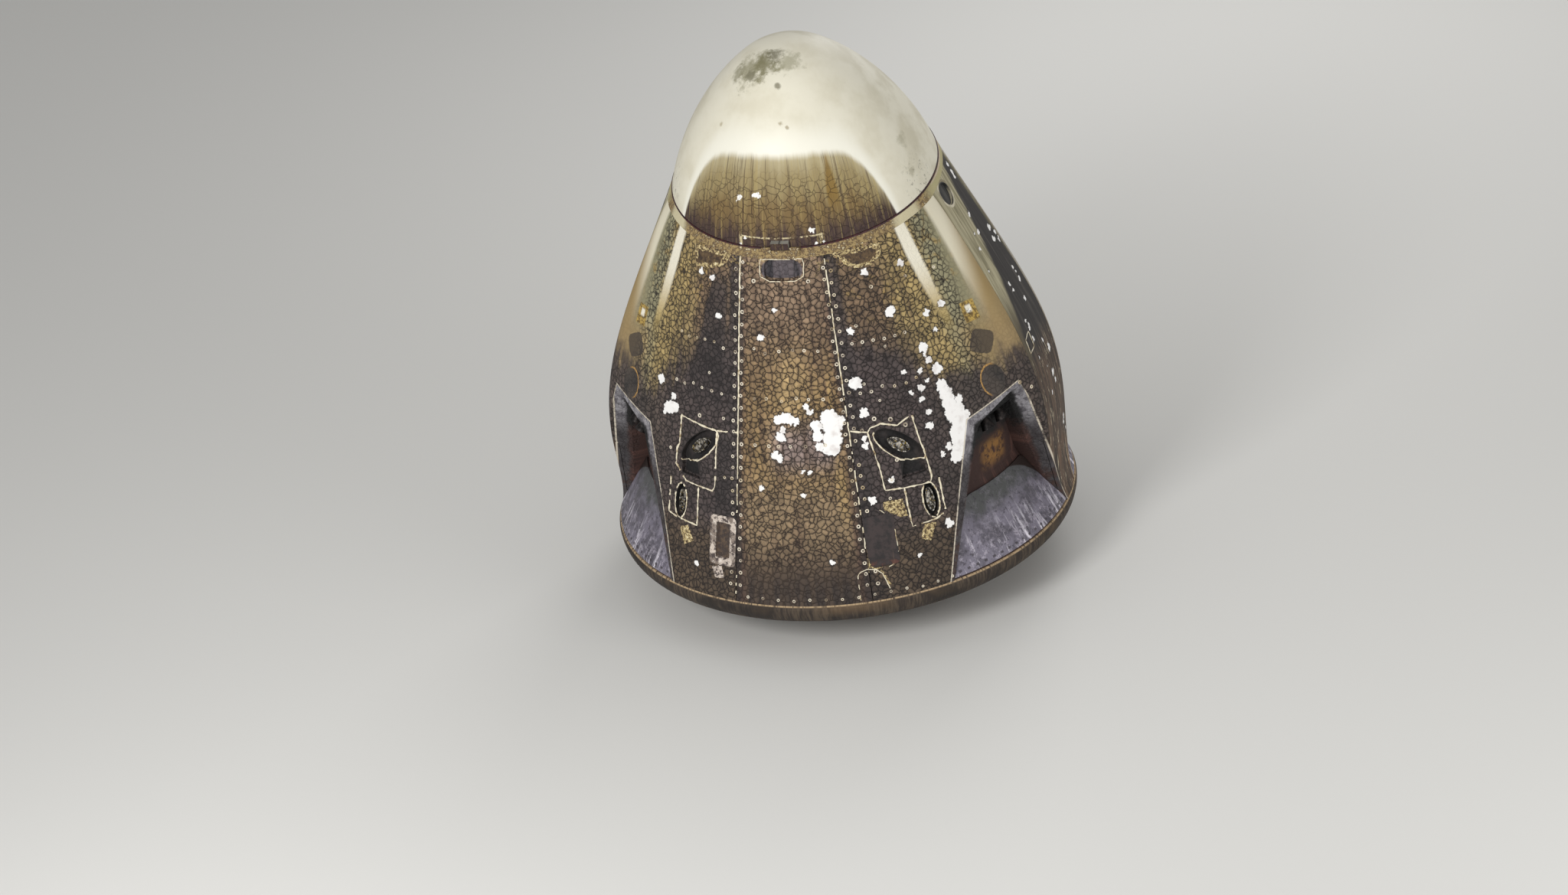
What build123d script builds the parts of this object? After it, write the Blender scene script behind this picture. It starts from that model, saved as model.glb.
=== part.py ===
# Crewed space capsule after splashdown: a cone-shaped crew module with four engine pods,
# a dished heat shield, a side hatch and a hinged nose cap over the docking adapter.
# Millimetres. +Z up, origin at the lowest point of the heat shield on the capsule's axis.
# The windward side, the side in the photograph, faces -Y.
# An azimuth is in degrees from the windward centre line (-Y) towards +X.
from math import asin, atan, cos, degrees, radians, sin, sqrt, tan
import os

from build123d import *

os.makedirs("parts", exist_ok=True)

# Overall shape
BASE_R = 2000.0          # largest radius, at the heat shield's shoulder
SHIELD_DISH_R = 4900.0   # spherical underside
SHOULDER_R = 180.0
SEAM_Z = 580.0           # seam between heat shield and backshell
SEAM_STEP = 15.0         # the seam's radius is this much under the largest
NOSE_Z = 3705.0          # centre of the nose seam
NOSE_Y = -40.0
NOSE_R = 1128.0
NOSE_CANT = 9.0          # the seam's windward side is lower
NOSE_CREASE = 73.0       # where the pods' creases meet it
SIDE_BULGE = 12.0
CREASE_ROUND = 80.0      # how far each side of a crease its rounding reaches
FLANK_START = 30.0       # the flanks leave the core cone here

# Sections of the shell from its seam up: height, and the creases' azimuth and radius
SECTIONS = [
    (580.0, 84.0, 1984.0),
    (1200.0, 79.0, 1962.0),
    (1720.0, 76.5, 1945.0),
    (2100.0, 75.8, 1862.0),
    (2550.0, 75.4, 1696.0),
    (3100.0, 75.0, 1442.0),
]

# Walls and gaps
PANEL_T = 60.0
VESSEL_T = 40.0
SERVICE_DEPTH = 415.0    # from the largest radius in to the pressure vessel
GAP = 6.0                # between panels
SEAT = 0.3               # between a piece and what carries it
MOVE = 6.0               # around pieces that move
HINGE_PIN_R = 6.0
PIN_CLEAR = 0.08

# Edges of the centre panels, as azimuths from their centre lines
WINDWARD_EDGE = 17.3
LEEWARD_EDGE = 21.5

# Half widths of the side panels, at the nose and from the foot up to the taper
SIDE_NOSE_HALF = 310.0
SIDE_FOOT_HALF = 400.0
SIDE_TAPER_Z = 1950.0

# Nose cap and the collar under its seam
CAP_T = 30.0
CAP_SIDE_R = 2370.0
CAP_FOOT_SLOPE = 16.5
CAP_TIP_SLOPE = 48.5
CAP_FLANGE = 60.0
CAP_FLANGE_H = 28.0
COLLAR_H = 80.0
CAP_AXIS_OUT = 12.0      # hinge axis outside the skin
CAP_BARREL_R = 14.0
CAP_BARREL_L = 150.0
CAP_LUG_L = 80.0

# Forward deck and docking adapter
DECK_DROP = 230.0        # deck below the nose seam's centre
TUNNEL_R = 400.0
TUNNEL_WALL = 110.0
TUNNEL_H = 460.0
FLANGE_R = 650.0
FLANGE_T = 60.0
CAPTURE_R = 600.0
CAPTURE_RISE = 120.0
CAPTURE_SECTION = 34.0
PETAL_H = 150.0
PETAL_LEAN = 24.0
STRUT_R = 13.0
FORWARD_NOZZLE_R = 70.0
FORWARD_NOZZLE_H = 150.0
FORWARD_NOZZLE_AT = 850.0
INNER_HATCH_T = 45.0
INNER_HATCH_LAP = 45.0
INNER_AXIS_OUT = 30.0

# Side hatch
HATCH_SILL = 55.0        # above the vessel's kink
HATCH_W = 840.0
HATCH_H = 1000.0
HATCH_CORNER = 120.0
HATCH_STEP = 40.0
HATCH_GAP = 8.0
HATCH_PLUG_GAP = 15.0
HATCH_AXIS_SIDE = 14.0   # hinge axis beside the hatch's edge
HATCH_AXIS_OUT = 24.0    # and outside the skin there
HATCH_BARREL_R = 15.0
HATCH_BARREL_L = 90.0
HATCH_LUG_L = 50.0
HATCH_HINGES = (-300.0, 300.0)

# Windows in the leeward quadrants
WINDOW_AZ = 147.0
WINDOW_ABOVE = 160.0     # above the hatch's middle
WINDOW_W = 300.0
WINDOW_H = 340.0
WINDOW_CORNER = 70.0
WINDOW_LAP = 20.0
PANE_T = 22.0
PANE_DEPTH = 46.0

# Engine recess: outline seen square to its azimuth, as (across, above the seam)
RECESS_AZ = 62.0
RECESS_OUTLINE = [(-845.0, -40.0), (-262.0, 1245.0), (300.0, 1375.0), (775.0, -40.0)]
RECESS_ROUND = (120.0, 90.0)
RECESS_DRAFT = 10.0
RECESS_FACE = 1850.0     # distance from the axis at which the outline holds
RECESS_REACH = 400.0     # the outline is cut this far either side of it
RECESS_LIP = (80.0, 115.0)  # flared lip inside the outline: across, deep
RECESS_WALL = 55.0       # service section left behind the recess
CEILING_RISE = 0.62
CEILING_ABOVE = 1130.0   # ceiling's inner edge above the seam
RAMP_STEP = 14.0         # ramp's foot inside the seam's edge
RAMP_LEDGE = 25.0        # ramp's head outside the recess's back
RAMP_RISE = 540.0
RAMP_T = 18.0
RAMP_OUTLINE = [(-835.0, -40.0), (-380.0, 545.0), (470.0, 545.0), (770.0, -40.0)]
RAMP_ROUND = (240.0, 120.0)
ENGINE_R = 62.0
ENGINE_L = 100.0
ENGINE_AZ = (60.5, 67.0)
ENGINE_IN = 40.0         # nozzle's middle in front of the recess's back

# Oval thruster pockets: azimuth, height, half length, half width, tilt and depth,
# then the half length and half width of the nozzle in each
THRUSTERS = [
    (31.5, 1805.0, 240.0, 95.0, -40.0, 52.0, 105.0, 50.0),
    (37.0, 1295.0, 145.0, 62.0, 90.0, 46.0, 105.0, 38.0),
]
NOZZLE_T = 9.0
# Side lobe of the upper pocket: its corners from the pocket's middle, and its depth
LOBE_OUTLINE = [(-40.0, -290.0), (180.0, -275.0), (185.0, -155.0), (15.0, -115.0)]
LOBE_DEPTH = 45.0

# Umbilical port on the left and its flush cover on the right
UMBILICAL_AZ = 21.7
UMBILICAL_ABOVE = 485.0  # above the seam
UMBILICAL_W = 262.0
UMBILICAL_H = 435.0
UMBILICAL_DEPTH = 30.0
UMBILICAL_RIM = 62.0

# Pocket in the windward panel and round port in each side panel, below the nose seam
FRONT_POCKET = (300.0, 180.0, 45.0)
FRONT_POCKET_BELOW = 350.0
PORT_R = 100.0
PORT_BELOW = 205.0
PORT_SIDE = -140.0
PORT_DEPTH = 25.0

# Trunk tie sockets in the underside
TIE_COUNT = 6
TIE_PCD = 2900.0
TIE_R = 40.0
TIE_DEPTH = 120.0

# Cabin
FLOOR_ABOVE = 570.0      # floor above the heat shield's seam
FLOOR_T = 30.0
SEAT_W = 460.0
SEAT_PITCH = 540.0
CONSOLE_ABOVE = 1120.0   # console above the floor
CONSOLE_W = 1250.0
CONSOLE_TALL = 420.0
CONSOLE_T = 70.0
CONSOLE_POST = 70.0
CONSOLE_POST_AT = 540.0

# Worked out from the sizes above
SEAM_R = BASE_R - SEAM_STEP
VESSEL_R = BASE_R - SERVICE_DEPTH
CONE_SLOPE = (SEAM_R - NOSE_R) / (NOSE_Z - SEAM_Z)
CONE_ANGLE = atan(CONE_SLOPE)
DECK_Z = NOSE_Z - DECK_DROP
VESSEL_INSET = (PANEL_T + SEAT) / cos(CONE_ANGLE)
KINK_Z = SEAM_Z + (SEAM_R - VESSEL_INSET - VESSEL_R) / CONE_SLOPE
HATCH_Z = KINK_Z + HATCH_SILL + HATCH_H / 2 * cos(CONE_ANGLE)
CANT = radians(NOSE_CANT)
NOSE = Vector(0, NOSE_Y, NOSE_Z)
NOSE_UP = Vector(0, -sin(CANT), cos(CANT))
NOSE_PLANE = Plane(origin=NOSE, x_dir=(1, 0, 0), z_dir=NOSE_UP)
UP = Vector(0, 0, 1)
RIGHT = Vector(1, 0, 0)
FAR = 6000.0


def toward(azimuth):
    """Horizontal unit vector at an azimuth."""
    a = radians(azimuth)
    return Vector(sin(a), -cos(a), 0)


def at(azimuth, radius, z):
    """Point at an azimuth, a distance from the axis and a height."""
    return toward(azimuth) * radius + UP * z


def core_r(z):
    """Radius of the core cone."""
    return SEAM_R - CONE_SLOPE * (z - SEAM_Z)


def one(shape):
    """The solids of a shape: one alone, or several held together."""
    solids = list(shape.solids())
    return solids[0] if len(solids) == 1 else Compound(children=solids)


def prism(plane, points, low, high):
    """Solid between two heights over a polygon drawn on a plane."""
    outline = Wire.make_polygon([plane.from_local_coords(Vector(x, y, low)) for x, y in points])
    return Solid.extrude(Face(outline), plane.z_dir * (high - low))


def rounded(plane, width, tall, corner, low, high):
    """Solid between two heights over a rounded rectangle centred on a plane."""
    w, h = width / 2, tall / 2
    block = prism(plane, [(-w, -h), (w, -h), (w, h), (-w, h)], low, high)
    return block.fillet(corner, block.edges().filter_by(Axis(plane.origin, plane.z_dir)))


def cylinder(start, end, radius):
    """Solid cylinder from one point to another."""
    line = Vector(end) - Vector(start)
    return Solid.make_cylinder(radius, line.length, Plane(origin=start, z_dir=line))


def tube(low, high, outer, inner):
    """Upright hollow cylinder on the axis between two heights."""
    bore = Solid.make_cylinder(inner, high - low + 2, Plane(origin=UP * (low - 1)))
    return Solid.make_cylinder(outer, high - low, Plane(origin=UP * low)) - bore


def revolved(points):
    """Solid of revolution about Z from (radius, height) points joined by lines."""
    outline = Wire.make_polygon([Vector(r, 0, z) for r, z in points])
    return Solid.revolve(Face(outline), 360, Axis.Z)


def cone_inside(depth, low=SEAM_Z - 50, high=NOSE_Z + 400):
    """The core cone, shrunk by a depth square to its skin."""
    inset = depth / cos(CONE_ANGLE)
    return revolved([(0, low), (core_r(low) - inset, low), (core_r(high) - inset, high), (0, high)])


def skin_plane(azimuth, z):
    """Plane on the core cone, its normal outwards and its y up the cone."""
    out = toward(azimuth) * cos(CONE_ANGLE) + UP * sin(CONE_ANGLE)
    return Plane(origin=at(azimuth, core_r(z), z), x_dir=UP.cross(toward(azimuth)), z_dir=out)


def quarter(shape, x_sign, y_sign):
    """A windward right-hand piece carried to another quadrant."""
    if x_sign < 0:
        shape = shape.mirror(Plane.YZ)
    if y_sign < 0:
        shape = shape.mirror(Plane.XZ)
    return shape


# Outer shape: a twelve-edged section at each height, blended from one to the next
def end_tangent(start, way, end):
    """Direction in which an arc arrives, from its start, its first direction and its end."""
    chord = (end - start).normalized()
    return chord * (2 * chord.dot(way)) - way


def side_r(crease, crease_r):
    """Half width between the capsule's nearly flat sides."""
    return crease_r * sin(radians(crease)) + SIDE_BULGE


def section(z, crease, crease_r):
    """Core arcs front and back, flank arcs, rounded creases and nearly flat sides."""
    start, way = at(FLANK_START, core_r(z), z), toward(FLANK_START + 90)
    ridge, side = at(crease, crease_r, z), at(90, side_r(crease, crease_r), z)
    before = ridge - end_tangent(start, way, ridge) * CREASE_ROUND
    after = ridge + (side - ridge).normalized() * CREASE_ROUND
    flank = Edge.make_tangent_arc(start, way, before)
    corner = Edge.make_tangent_arc(before, end_tangent(start, way, before), after)
    front = Edge.make_three_point_arc(Vector(-start.X, start.Y, z), at(0, core_r(z), z), start)
    flat = Edge.make_three_point_arc(after, side, Vector(after.X, -after.Y, z))
    return Wire([
        front, flank, corner, flat, quarter(corner, 1, -1), quarter(flank, 1, -1),
        quarter(front, 1, -1), quarter(flank, -1, -1), quarter(corner, -1, -1),
        quarter(flat, -1, 1), quarter(corner, -1, 1), quarter(flank, -1, 1),
    ])


def nose_section():
    """The round seam under the nose cap, in the same twelve edges."""
    def point(azimuth):
        a = radians(azimuth)
        return NOSE_PLANE.from_local_coords(Vector(NOSE_R * sin(a), -NOSE_R * cos(a), -GAP / 2))
    round_half = degrees(CREASE_ROUND / NOSE_R)
    first = [FLANK_START, NOSE_CREASE - round_half, NOSE_CREASE + round_half]
    corners = [-FLANK_START] + first + [180 - a for a in reversed(first)]
    corners += [180 + a for a in first] + [360 - a for a in reversed(first)]
    return Wire([
        Edge.make_three_point_arc(point(a), point((a + b) / 2), point(b))
        for a, b in zip(corners[:-1], corners[1:])
    ])


OUTER = Solid.make_loft([section(*row) for row in SECTIONS] + [nose_section()])
SHELL = OUTER - cone_inside(PANEL_T)

# Everything above the collar's lower edge, and above the panels' upper edge
half_space = [(-FAR, -FAR), (FAR, -FAR), (FAR, FAR), (-FAR, FAR)]
ABOVE_COLLAR = prism(NOSE_PLANE, half_space, -COLLAR_H, FAR)
ABOVE_PANELS = prism(NOSE_PLANE, half_space, -COLLAR_H - SEAT, FAR)


def wedge(low, high):
    """Everything between two azimuths, half a panel gap inside each."""
    tip = toward((low + high) / 2) * (GAP / 2 / sin(radians((high - low) / 2)))
    ends = [tip, tip + toward(low) * FAR, tip + toward(high) * FAR]
    return Solid.extrude(Face(Wire.make_polygon(ends)), UP * FAR)


side_rows = [(side_r(crease, crease_r), z) for z, crease, crease_r in SECTIONS] + [(NOSE_R, NOSE_Z)]
(low_side_r, low_side_z), (top_side_r, top_side_z) = side_rows[-2:]
SIDE_LEAN = atan((low_side_r - top_side_r) / (top_side_z - low_side_z))


def side_region(margin):
    """Everything over the capsule's flat side that belongs to its side panel."""
    inset = PANEL_T / cos(SIDE_LEAN) + margin
    path = [(SEAM_R - inset, 0)] + [(r - inset, z) for r, z in side_rows]
    path += [(NOSE_R - inset, FAR), (FAR, FAR), (FAR, 0)]
    foot, nose = SIDE_FOOT_HALF + margin, SIDE_NOSE_HALF + margin
    half = [(foot, 0), (foot, SIDE_TAPER_Z), (nose, NOSE_Z), (nose, FAR)]
    outline = half + [(-y, z) for y, z in reversed(half)]
    outside = prism(Plane(origin=(0, FAR / 2, 0), x_dir=RIGHT, z_dir=(0, -1, 0)), path, 0, FAR)
    return outside & prism(Plane(origin=(0, 0, 0), x_dir=(0, 1, 0), z_dir=RIGHT), outline, 0, FAR)


# Engine recess, exhaust ramp and nozzles of the windward right-hand pod
def recess_outline(points, rounds, depth, shift):
    """Outline with two rounded upper corners, at a distance from the axis."""
    out = toward(RECESS_AZ)
    plane = Plane(origin=out * depth + UP * SEAM_Z, x_dir=UP.cross(out), z_dir=out)
    moves = [(shift, 0), (shift, -shift), (-shift, -shift), (-shift, 0)]
    corners = [plane.from_local_coords(Vector(x + dx, z + dz, 0))
               for (x, z), (dx, dz) in zip(points, moves)]
    wire = Wire.make_polygon(corners)
    for corner, radius in zip(corners[1:3], rounds):
        nearest = min(wire.vertices(), key=lambda v: (Vector(*tuple(v)) - corner).length)
        wire = wire.fillet_2d(radius, [nearest])
    return wire


def recess_funnel(low, high, slope, inset):
    """The recess's outline between two distances from the axis, opening outwards."""
    return Solid.make_loft([
        recess_outline(RECESS_OUTLINE, RECESS_ROUND, depth, inset + (RECESS_FACE - depth) * slope)
        for depth in (low, high)
    ], ruled=True)


def recess_space(inset=0.0):
    """What the recess takes out of the pod, the side panel and the service section."""
    lip, lip_depth = RECESS_LIP
    draft = tan(radians(RECESS_DRAFT))
    throat = recess_funnel(RECESS_FACE - RECESS_REACH, RECESS_FACE + RECESS_REACH, draft,
                           inset + lip - lip_depth * draft)
    flare = recess_funnel(RECESS_FACE - lip_depth, RECESS_FACE + RECESS_REACH, lip / lip_depth, inset)
    back = VESSEL_R + RECESS_WALL
    low = SEAM_Z + CEILING_ABOVE
    run = FAR - back
    floor = [
        (FAR, SEAM_Z - 100), (SEAM_R - RAMP_STEP, SEAM_Z - 100), (SEAM_R - RAMP_STEP, SEAM_Z),
        (back + RAMP_LEDGE, SEAM_Z + RAMP_RISE), (back, SEAM_Z + RAMP_RISE + 60),
    ]
    hollow = revolved(floor + [(back, low), (FAR, low + run * CEILING_RISE)])
    above_floor = revolved(floor + [(back, FAR), (FAR, FAR)])
    return (throat & hollow) + (flare & above_floor)


def exhaust_ramp():
    """Conical metal plate on the recess's sloping floor."""
    foot = Vector(SEAM_R - RAMP_STEP, 0, SEAM_Z)
    head = Vector(VESSEL_R + RECESS_WALL + RAMP_LEDGE, 0, SEAM_Z + RAMP_RISE)
    run = (head - foot).normalized()
    out = Vector(run.Z, 0, -run.X)
    a, b = foot + run * 12 + out * SEAT, head - run * 6 + out * SEAT
    plate = revolved([(p.X, p.Z) for p in (a, b, b + out * RAMP_T, a + out * RAMP_T)])
    shape = Solid.make_loft([
        recess_outline(RAMP_OUTLINE, RAMP_ROUND, depth, 0)
        for depth in (RECESS_FACE - RECESS_REACH, RECESS_FACE + RECESS_REACH)
    ], ruled=True)
    return one(plate & shape & recess_space(3.0) & OUTER)


def engine_nozzle(azimuth):
    """Bell of one escape engine, standing on the recess's ceiling."""
    slope = (toward(azimuth) + UP * CEILING_RISE).normalized()
    out = (toward(azimuth) * CEILING_RISE - UP).normalized()
    back = VESSEL_R + RECESS_WALL
    start = at(azimuth, back + ENGINE_IN, SEAM_Z + CEILING_ABOVE + ENGINE_IN * CEILING_RISE)
    plane = Plane(origin=start + out * SEAT, x_dir=slope, z_dir=out)
    throat = ENGINE_R * 0.55
    bell = Solid.make_cone(throat, ENGINE_R, ENGINE_L, plane)
    return bell - Solid.make_cone(throat - 10, ENGINE_R - 7, ENGINE_L + 1, plane.offset(18))


# Thrusters and umbilical port
def oval(azimuth, z, tilt, long_r, wide_r, low, high):
    """Oval solid square to the skin between two heights over it."""
    skin = skin_plane(azimuth, z)
    along = skin.x_dir * cos(radians(tilt)) + skin.y_dir * sin(radians(tilt))
    plane = Plane(origin=skin.origin + skin.z_dir * low, x_dir=along, z_dir=skin.z_dir)
    return Solid.extrude(Face(Wire([Edge.make_ellipse(long_r, wide_r, plane)])), plane.z_dir * (high - low))


def thruster_pockets():
    """The oval pockets and the upper one's side lobe."""
    cuts = [oval(azimuth, z, tilt, long_r, wide_r, -depth, 200)
            for azimuth, z, long_r, wide_r, tilt, depth, _, _ in THRUSTERS]
    cuts.append(prism(skin_plane(*THRUSTERS[0][:2]), LOBE_OUTLINE, -LOBE_DEPTH, 200))
    return cuts


def thruster_nozzle(azimuth, z, long_r, wide_r, tilt, depth, nozzle_long, nozzle_wide):
    """Oval nozzle on a pocket's floor."""
    rim = oval(azimuth, z, tilt, nozzle_long, nozzle_wide, SEAT - depth, -10)
    return rim - oval(azimuth, z, tilt, nozzle_long - NOZZLE_T, nozzle_wide - NOZZLE_T, 6 - depth, 0)


def umbilical_plate(rim):
    """Plate in the umbilical's pocket, hollowed inside a rim or left whole."""
    plane = skin_plane(UMBILICAL_AZ, SEAM_Z + UMBILICAL_ABOVE)
    w, h = UMBILICAL_W - 2 * SEAT, UMBILICAL_H - 2 * SEAT
    plate = rounded(plane, w, h, 40, -UMBILICAL_DEPTH + SEAT, -6)
    return plate - rounded(plane, w - 2 * rim, h - 2 * rim, 16, -UMBILICAL_DEPTH + 10, 10) if rim else plate


# Hinges
def lug(axis_point, run, inward, reach, centre, length, radius, foot):
    """Barrel on a hinge axis with a foot; the foot's rows are (along the reach, inwards)."""
    start = axis_point + run * (centre - length / 2)
    plane = Plane(origin=start, x_dir=reach, z_dir=run)
    side = 1 if plane.y_dir.dot(inward) > 0 else -1
    points = [(0, -radius * side), (foot[0][0], -radius * side)]
    points += [(x, y * side) for x, y in foot]
    return cylinder(start, start + run * length, radius) + prism(plane, points, 0, length)


def rod(axis_point, run, centre, length, radius):
    """Cylinder along a hinge axis, centred at a place on it."""
    start = axis_point + run * (centre - length / 2)
    return cylinder(start, start + run * length, radius)


NODES = {}

# Heat shield: dished underside, rounded shoulder, flat seat for the backshell
shoulder_run = SHIELD_DISH_R - SHOULDER_R
shoulder_z = SHIELD_DISH_R - sqrt(shoulder_run ** 2 - (BASE_R - SHOULDER_R) ** 2)
tilt = asin((BASE_R - SHOULDER_R) / shoulder_run)


def dish(angle):
    """Point of the spherical underside, by its angle from the axis."""
    return Vector(SHIELD_DISH_R * sin(angle), 0, SHIELD_DISH_R * (1 - cos(angle)))


shoulder_half = (radians(90) + tilt) / 2
shoulder_mid = Vector(BASE_R - SHOULDER_R, 0, shoulder_z) + Vector(
    sin(shoulder_half), 0, -cos(shoulder_half)) * SHOULDER_R
seat_z = SEAM_Z - SEAT
shield_edges = [
    Edge.make_three_point_arc(dish(0), dish(tilt / 2), dish(tilt)),
    Edge.make_three_point_arc(dish(tilt), shoulder_mid, Vector(BASE_R, 0, shoulder_z)),
    Edge.make_line(Vector(BASE_R, 0, shoulder_z), Vector(SEAM_R, 0, seat_z)),
    Edge.make_line(Vector(SEAM_R, 0, seat_z), Vector(0, 0, seat_z)),
    Edge.make_line(Vector(0, 0, seat_z), dish(0)),
]
shield = Solid.revolve(Face(Wire(shield_edges)), 360, Axis.Z)
tie_mouth = SHIELD_DISH_R - sqrt(SHIELD_DISH_R ** 2 - (TIE_PCD / 2) ** 2)
for i in range(TIE_COUNT):
    foot = at(30 + 360 / TIE_COUNT * i, TIE_PCD / 2, 0)
    shield = shield - cylinder(foot - UP * 100, foot + UP * (tie_mouth + TIE_DEPTH), TIE_R)
NODES["heat_shield"] = one(shield)

# Pressure vessel: cylinder, cone, floor and forward deck, one shell
hatch_plane = skin_plane(180.0, HATCH_Z)
plug_w, plug_h = HATCH_W - 2 * HATCH_STEP, HATCH_H - 2 * HATCH_STEP
wall = VESSEL_T / cos(CONE_ANGLE)
deck_r = core_r(DECK_Z) - VESSEL_INSET
ceiling_z = DECK_Z - VESSEL_T
vessel = revolved([
    (0, SEAM_Z), (VESSEL_R, SEAM_Z), (VESSEL_R, KINK_Z), (deck_r, DECK_Z), (0, DECK_Z),
]) - revolved([
    (0, SEAM_Z + VESSEL_T), (VESSEL_R - VESSEL_T, SEAM_Z + VESSEL_T),
    (VESSEL_R - VESSEL_T, KINK_Z - (wall - VESSEL_T) / CONE_SLOPE),
    (core_r(ceiling_z) - VESSEL_INSET - wall, ceiling_z), (0, ceiling_z),
])
vessel = vessel - rounded(hatch_plane, plug_w + 2 * HATCH_PLUG_GAP, plug_h + 2 * HATCH_PLUG_GAP,
                          HATCH_CORNER, -400, 300)
vessel = vessel - Solid.make_cylinder(TUNNEL_R, VESSEL_T + 20, Plane(origin=UP * (ceiling_z - 10)))
window_planes = {
    "right": skin_plane(WINDOW_AZ, HATCH_Z + WINDOW_ABOVE),
    "left": skin_plane(-WINDOW_AZ, HATCH_Z + WINDOW_ABOVE),
}
for plane in window_planes.values():
    vessel = vessel - rounded(plane, WINDOW_W - 2 * WINDOW_LAP, WINDOW_H - 2 * WINDOW_LAP,
                              WINDOW_CORNER - WINDOW_LAP, -300, 300)
NODES["pressure_vessel"] = one(vessel)

# Service bays: the ring of tanks and engines behind the lower backshell, in quarters
recess = recess_space()
ring = cone_inside(PANEL_T + SEAT, SEAM_Z, KINK_Z - 4)
ring = ring - Solid.make_cylinder(VESSEL_R + SEAT, FAR, Plane.XY) - recess
bay = ring & Solid.make_box(FAR, FAR, FAR, Plane(origin=(SEAT / 2, -FAR - SEAT / 2, 0)))

# Windward centre panel with its shallow pocket
windward = (SHELL & wedge(-WINDWARD_EDGE, WINDWARD_EDGE)) - ABOVE_PANELS
front_w, front_h, front_depth = FRONT_POCKET
windward = windward - rounded(skin_plane(0, NOSE_Z - FRONT_POCKET_BELOW), front_w, front_h,
                              front_h * 0.35, -front_depth, 100)
NODES["windward_panel"] = one(windward)

# Quadrants with the engine pods
ramp = exhaust_ramp()
bells = [engine_nozzle(azimuth) for azimuth in ENGINE_AZ]
jets = [thruster_nozzle(*row) for row in THRUSTERS]
pockets = thruster_pockets()
umbilicals = {"right": ("umbilical_cover_right", 0), "left": ("umbilical_port_left", UMBILICAL_RIM)}
port_pocket = rounded(skin_plane(UMBILICAL_AZ, SEAM_Z + UMBILICAL_ABOVE), UMBILICAL_W,
                      UMBILICAL_H, 40, -UMBILICAL_DEPTH, 200)
sides = {"windward": (1, WINDWARD_EDGE), "leeward": (-1, LEEWARD_EDGE)}
hands = {"right": 1, "left": -1}
for side_name, (y_sign, edge) in sides.items():
    for hand, x_sign in hands.items():
        piece = SHELL & quarter(wedge(edge, 90), x_sign, y_sign)
        piece = piece - quarter(side_region(GAP), x_sign, y_sign)
        piece = piece - quarter(recess, x_sign, y_sign) - ABOVE_PANELS
        for pocket in pockets:
            piece = piece - quarter(pocket, x_sign, y_sign)
        if side_name == "windward":
            piece = piece - quarter(port_pocket, x_sign, y_sign)
            plate_name, rim = umbilicals[hand]
            NODES[plate_name] = quarter(umbilical_plate(rim), x_sign, y_sign)
        else:
            plane = window_planes[hand]
            piece = piece - rounded(plane, WINDOW_W, WINDOW_H, WINDOW_CORNER, -300, 300)
            NODES[f"window_{hand}"] = rounded(
                plane, WINDOW_W - 2 * SEAT, WINDOW_H - 2 * SEAT, WINDOW_CORNER,
                -PANE_DEPTH, -PANE_DEPTH + PANE_T)
        NODES[f"{side_name}_pod_{hand}"] = one(piece)
        NODES[f"service_bay_{side_name}_{hand}"] = one(quarter(bay, x_sign, y_sign))
        NODES[f"exhaust_ramp_{side_name}_{hand}"] = quarter(ramp, x_sign, y_sign)
        NODES[f"escape_engines_{side_name}_{hand}"] = Compound(
            children=[quarter(bell, x_sign, y_sign) for bell in bells])
        NODES[f"thrusters_{side_name}_{hand}"] = Compound(
            children=[quarter(jet, x_sign, y_sign) for jet in jets])

# Flat side panels, each with a round port under the nose seam
port_plane = Plane(origin=(NOSE_R + PORT_BELOW * tan(SIDE_LEAN), PORT_SIDE, NOSE_Z - PORT_BELOW),
                   x_dir=(0, 1, 0), z_dir=(cos(SIDE_LEAN), 0, sin(SIDE_LEAN)))
side_panel = (SHELL & side_region(0)) - ABOVE_PANELS - recess - quarter(recess, 1, -1)
side_panel = side_panel - Solid.make_cylinder(PORT_R, 300, port_plane.offset(-PORT_DEPTH))
NODES["side_panel_right"] = one(side_panel)
NODES["side_panel_left"] = one(side_panel.mirror(Plane.YZ))

# Nose cap: two arcs turned about the canted axis, with a sealing flange inside its edge
foot_a, tip_a = radians(CAP_FOOT_SLOPE), radians(CAP_TIP_SLOPE)
cap_tip_r = (NOSE_R - CAP_SIDE_R * (cos(foot_a) - cos(tip_a))) / cos(tip_a)
side_c = Vector(NOSE_R - CAP_SIDE_R * cos(foot_a), 0, -CAP_SIDE_R * sin(foot_a))
tip_c = side_c + Vector(cos(tip_a), 0, sin(tip_a)) * (CAP_SIDE_R - cap_tip_r)


def on_arc(centre, radius, angle):
    """Point on a circle in the XZ plane."""
    return centre + Vector(cos(angle), 0, sin(angle)) * radius


def cap_arcs(inset):
    """Start, middle and end of the side arc and of the tip arc."""
    side_r, tip_r = CAP_SIDE_R - inset, cap_tip_r - inset
    start, top = asin((GAP / 2 - side_c.Z) / side_r), radians(90)
    return [
        [on_arc(side_c, side_r, a) for a in (start, (start + tip_a) / 2, tip_a)],
        [on_arc(tip_c, tip_r, a) for a in (tip_a, (tip_a + top) / 2, top)],
    ]


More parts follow.
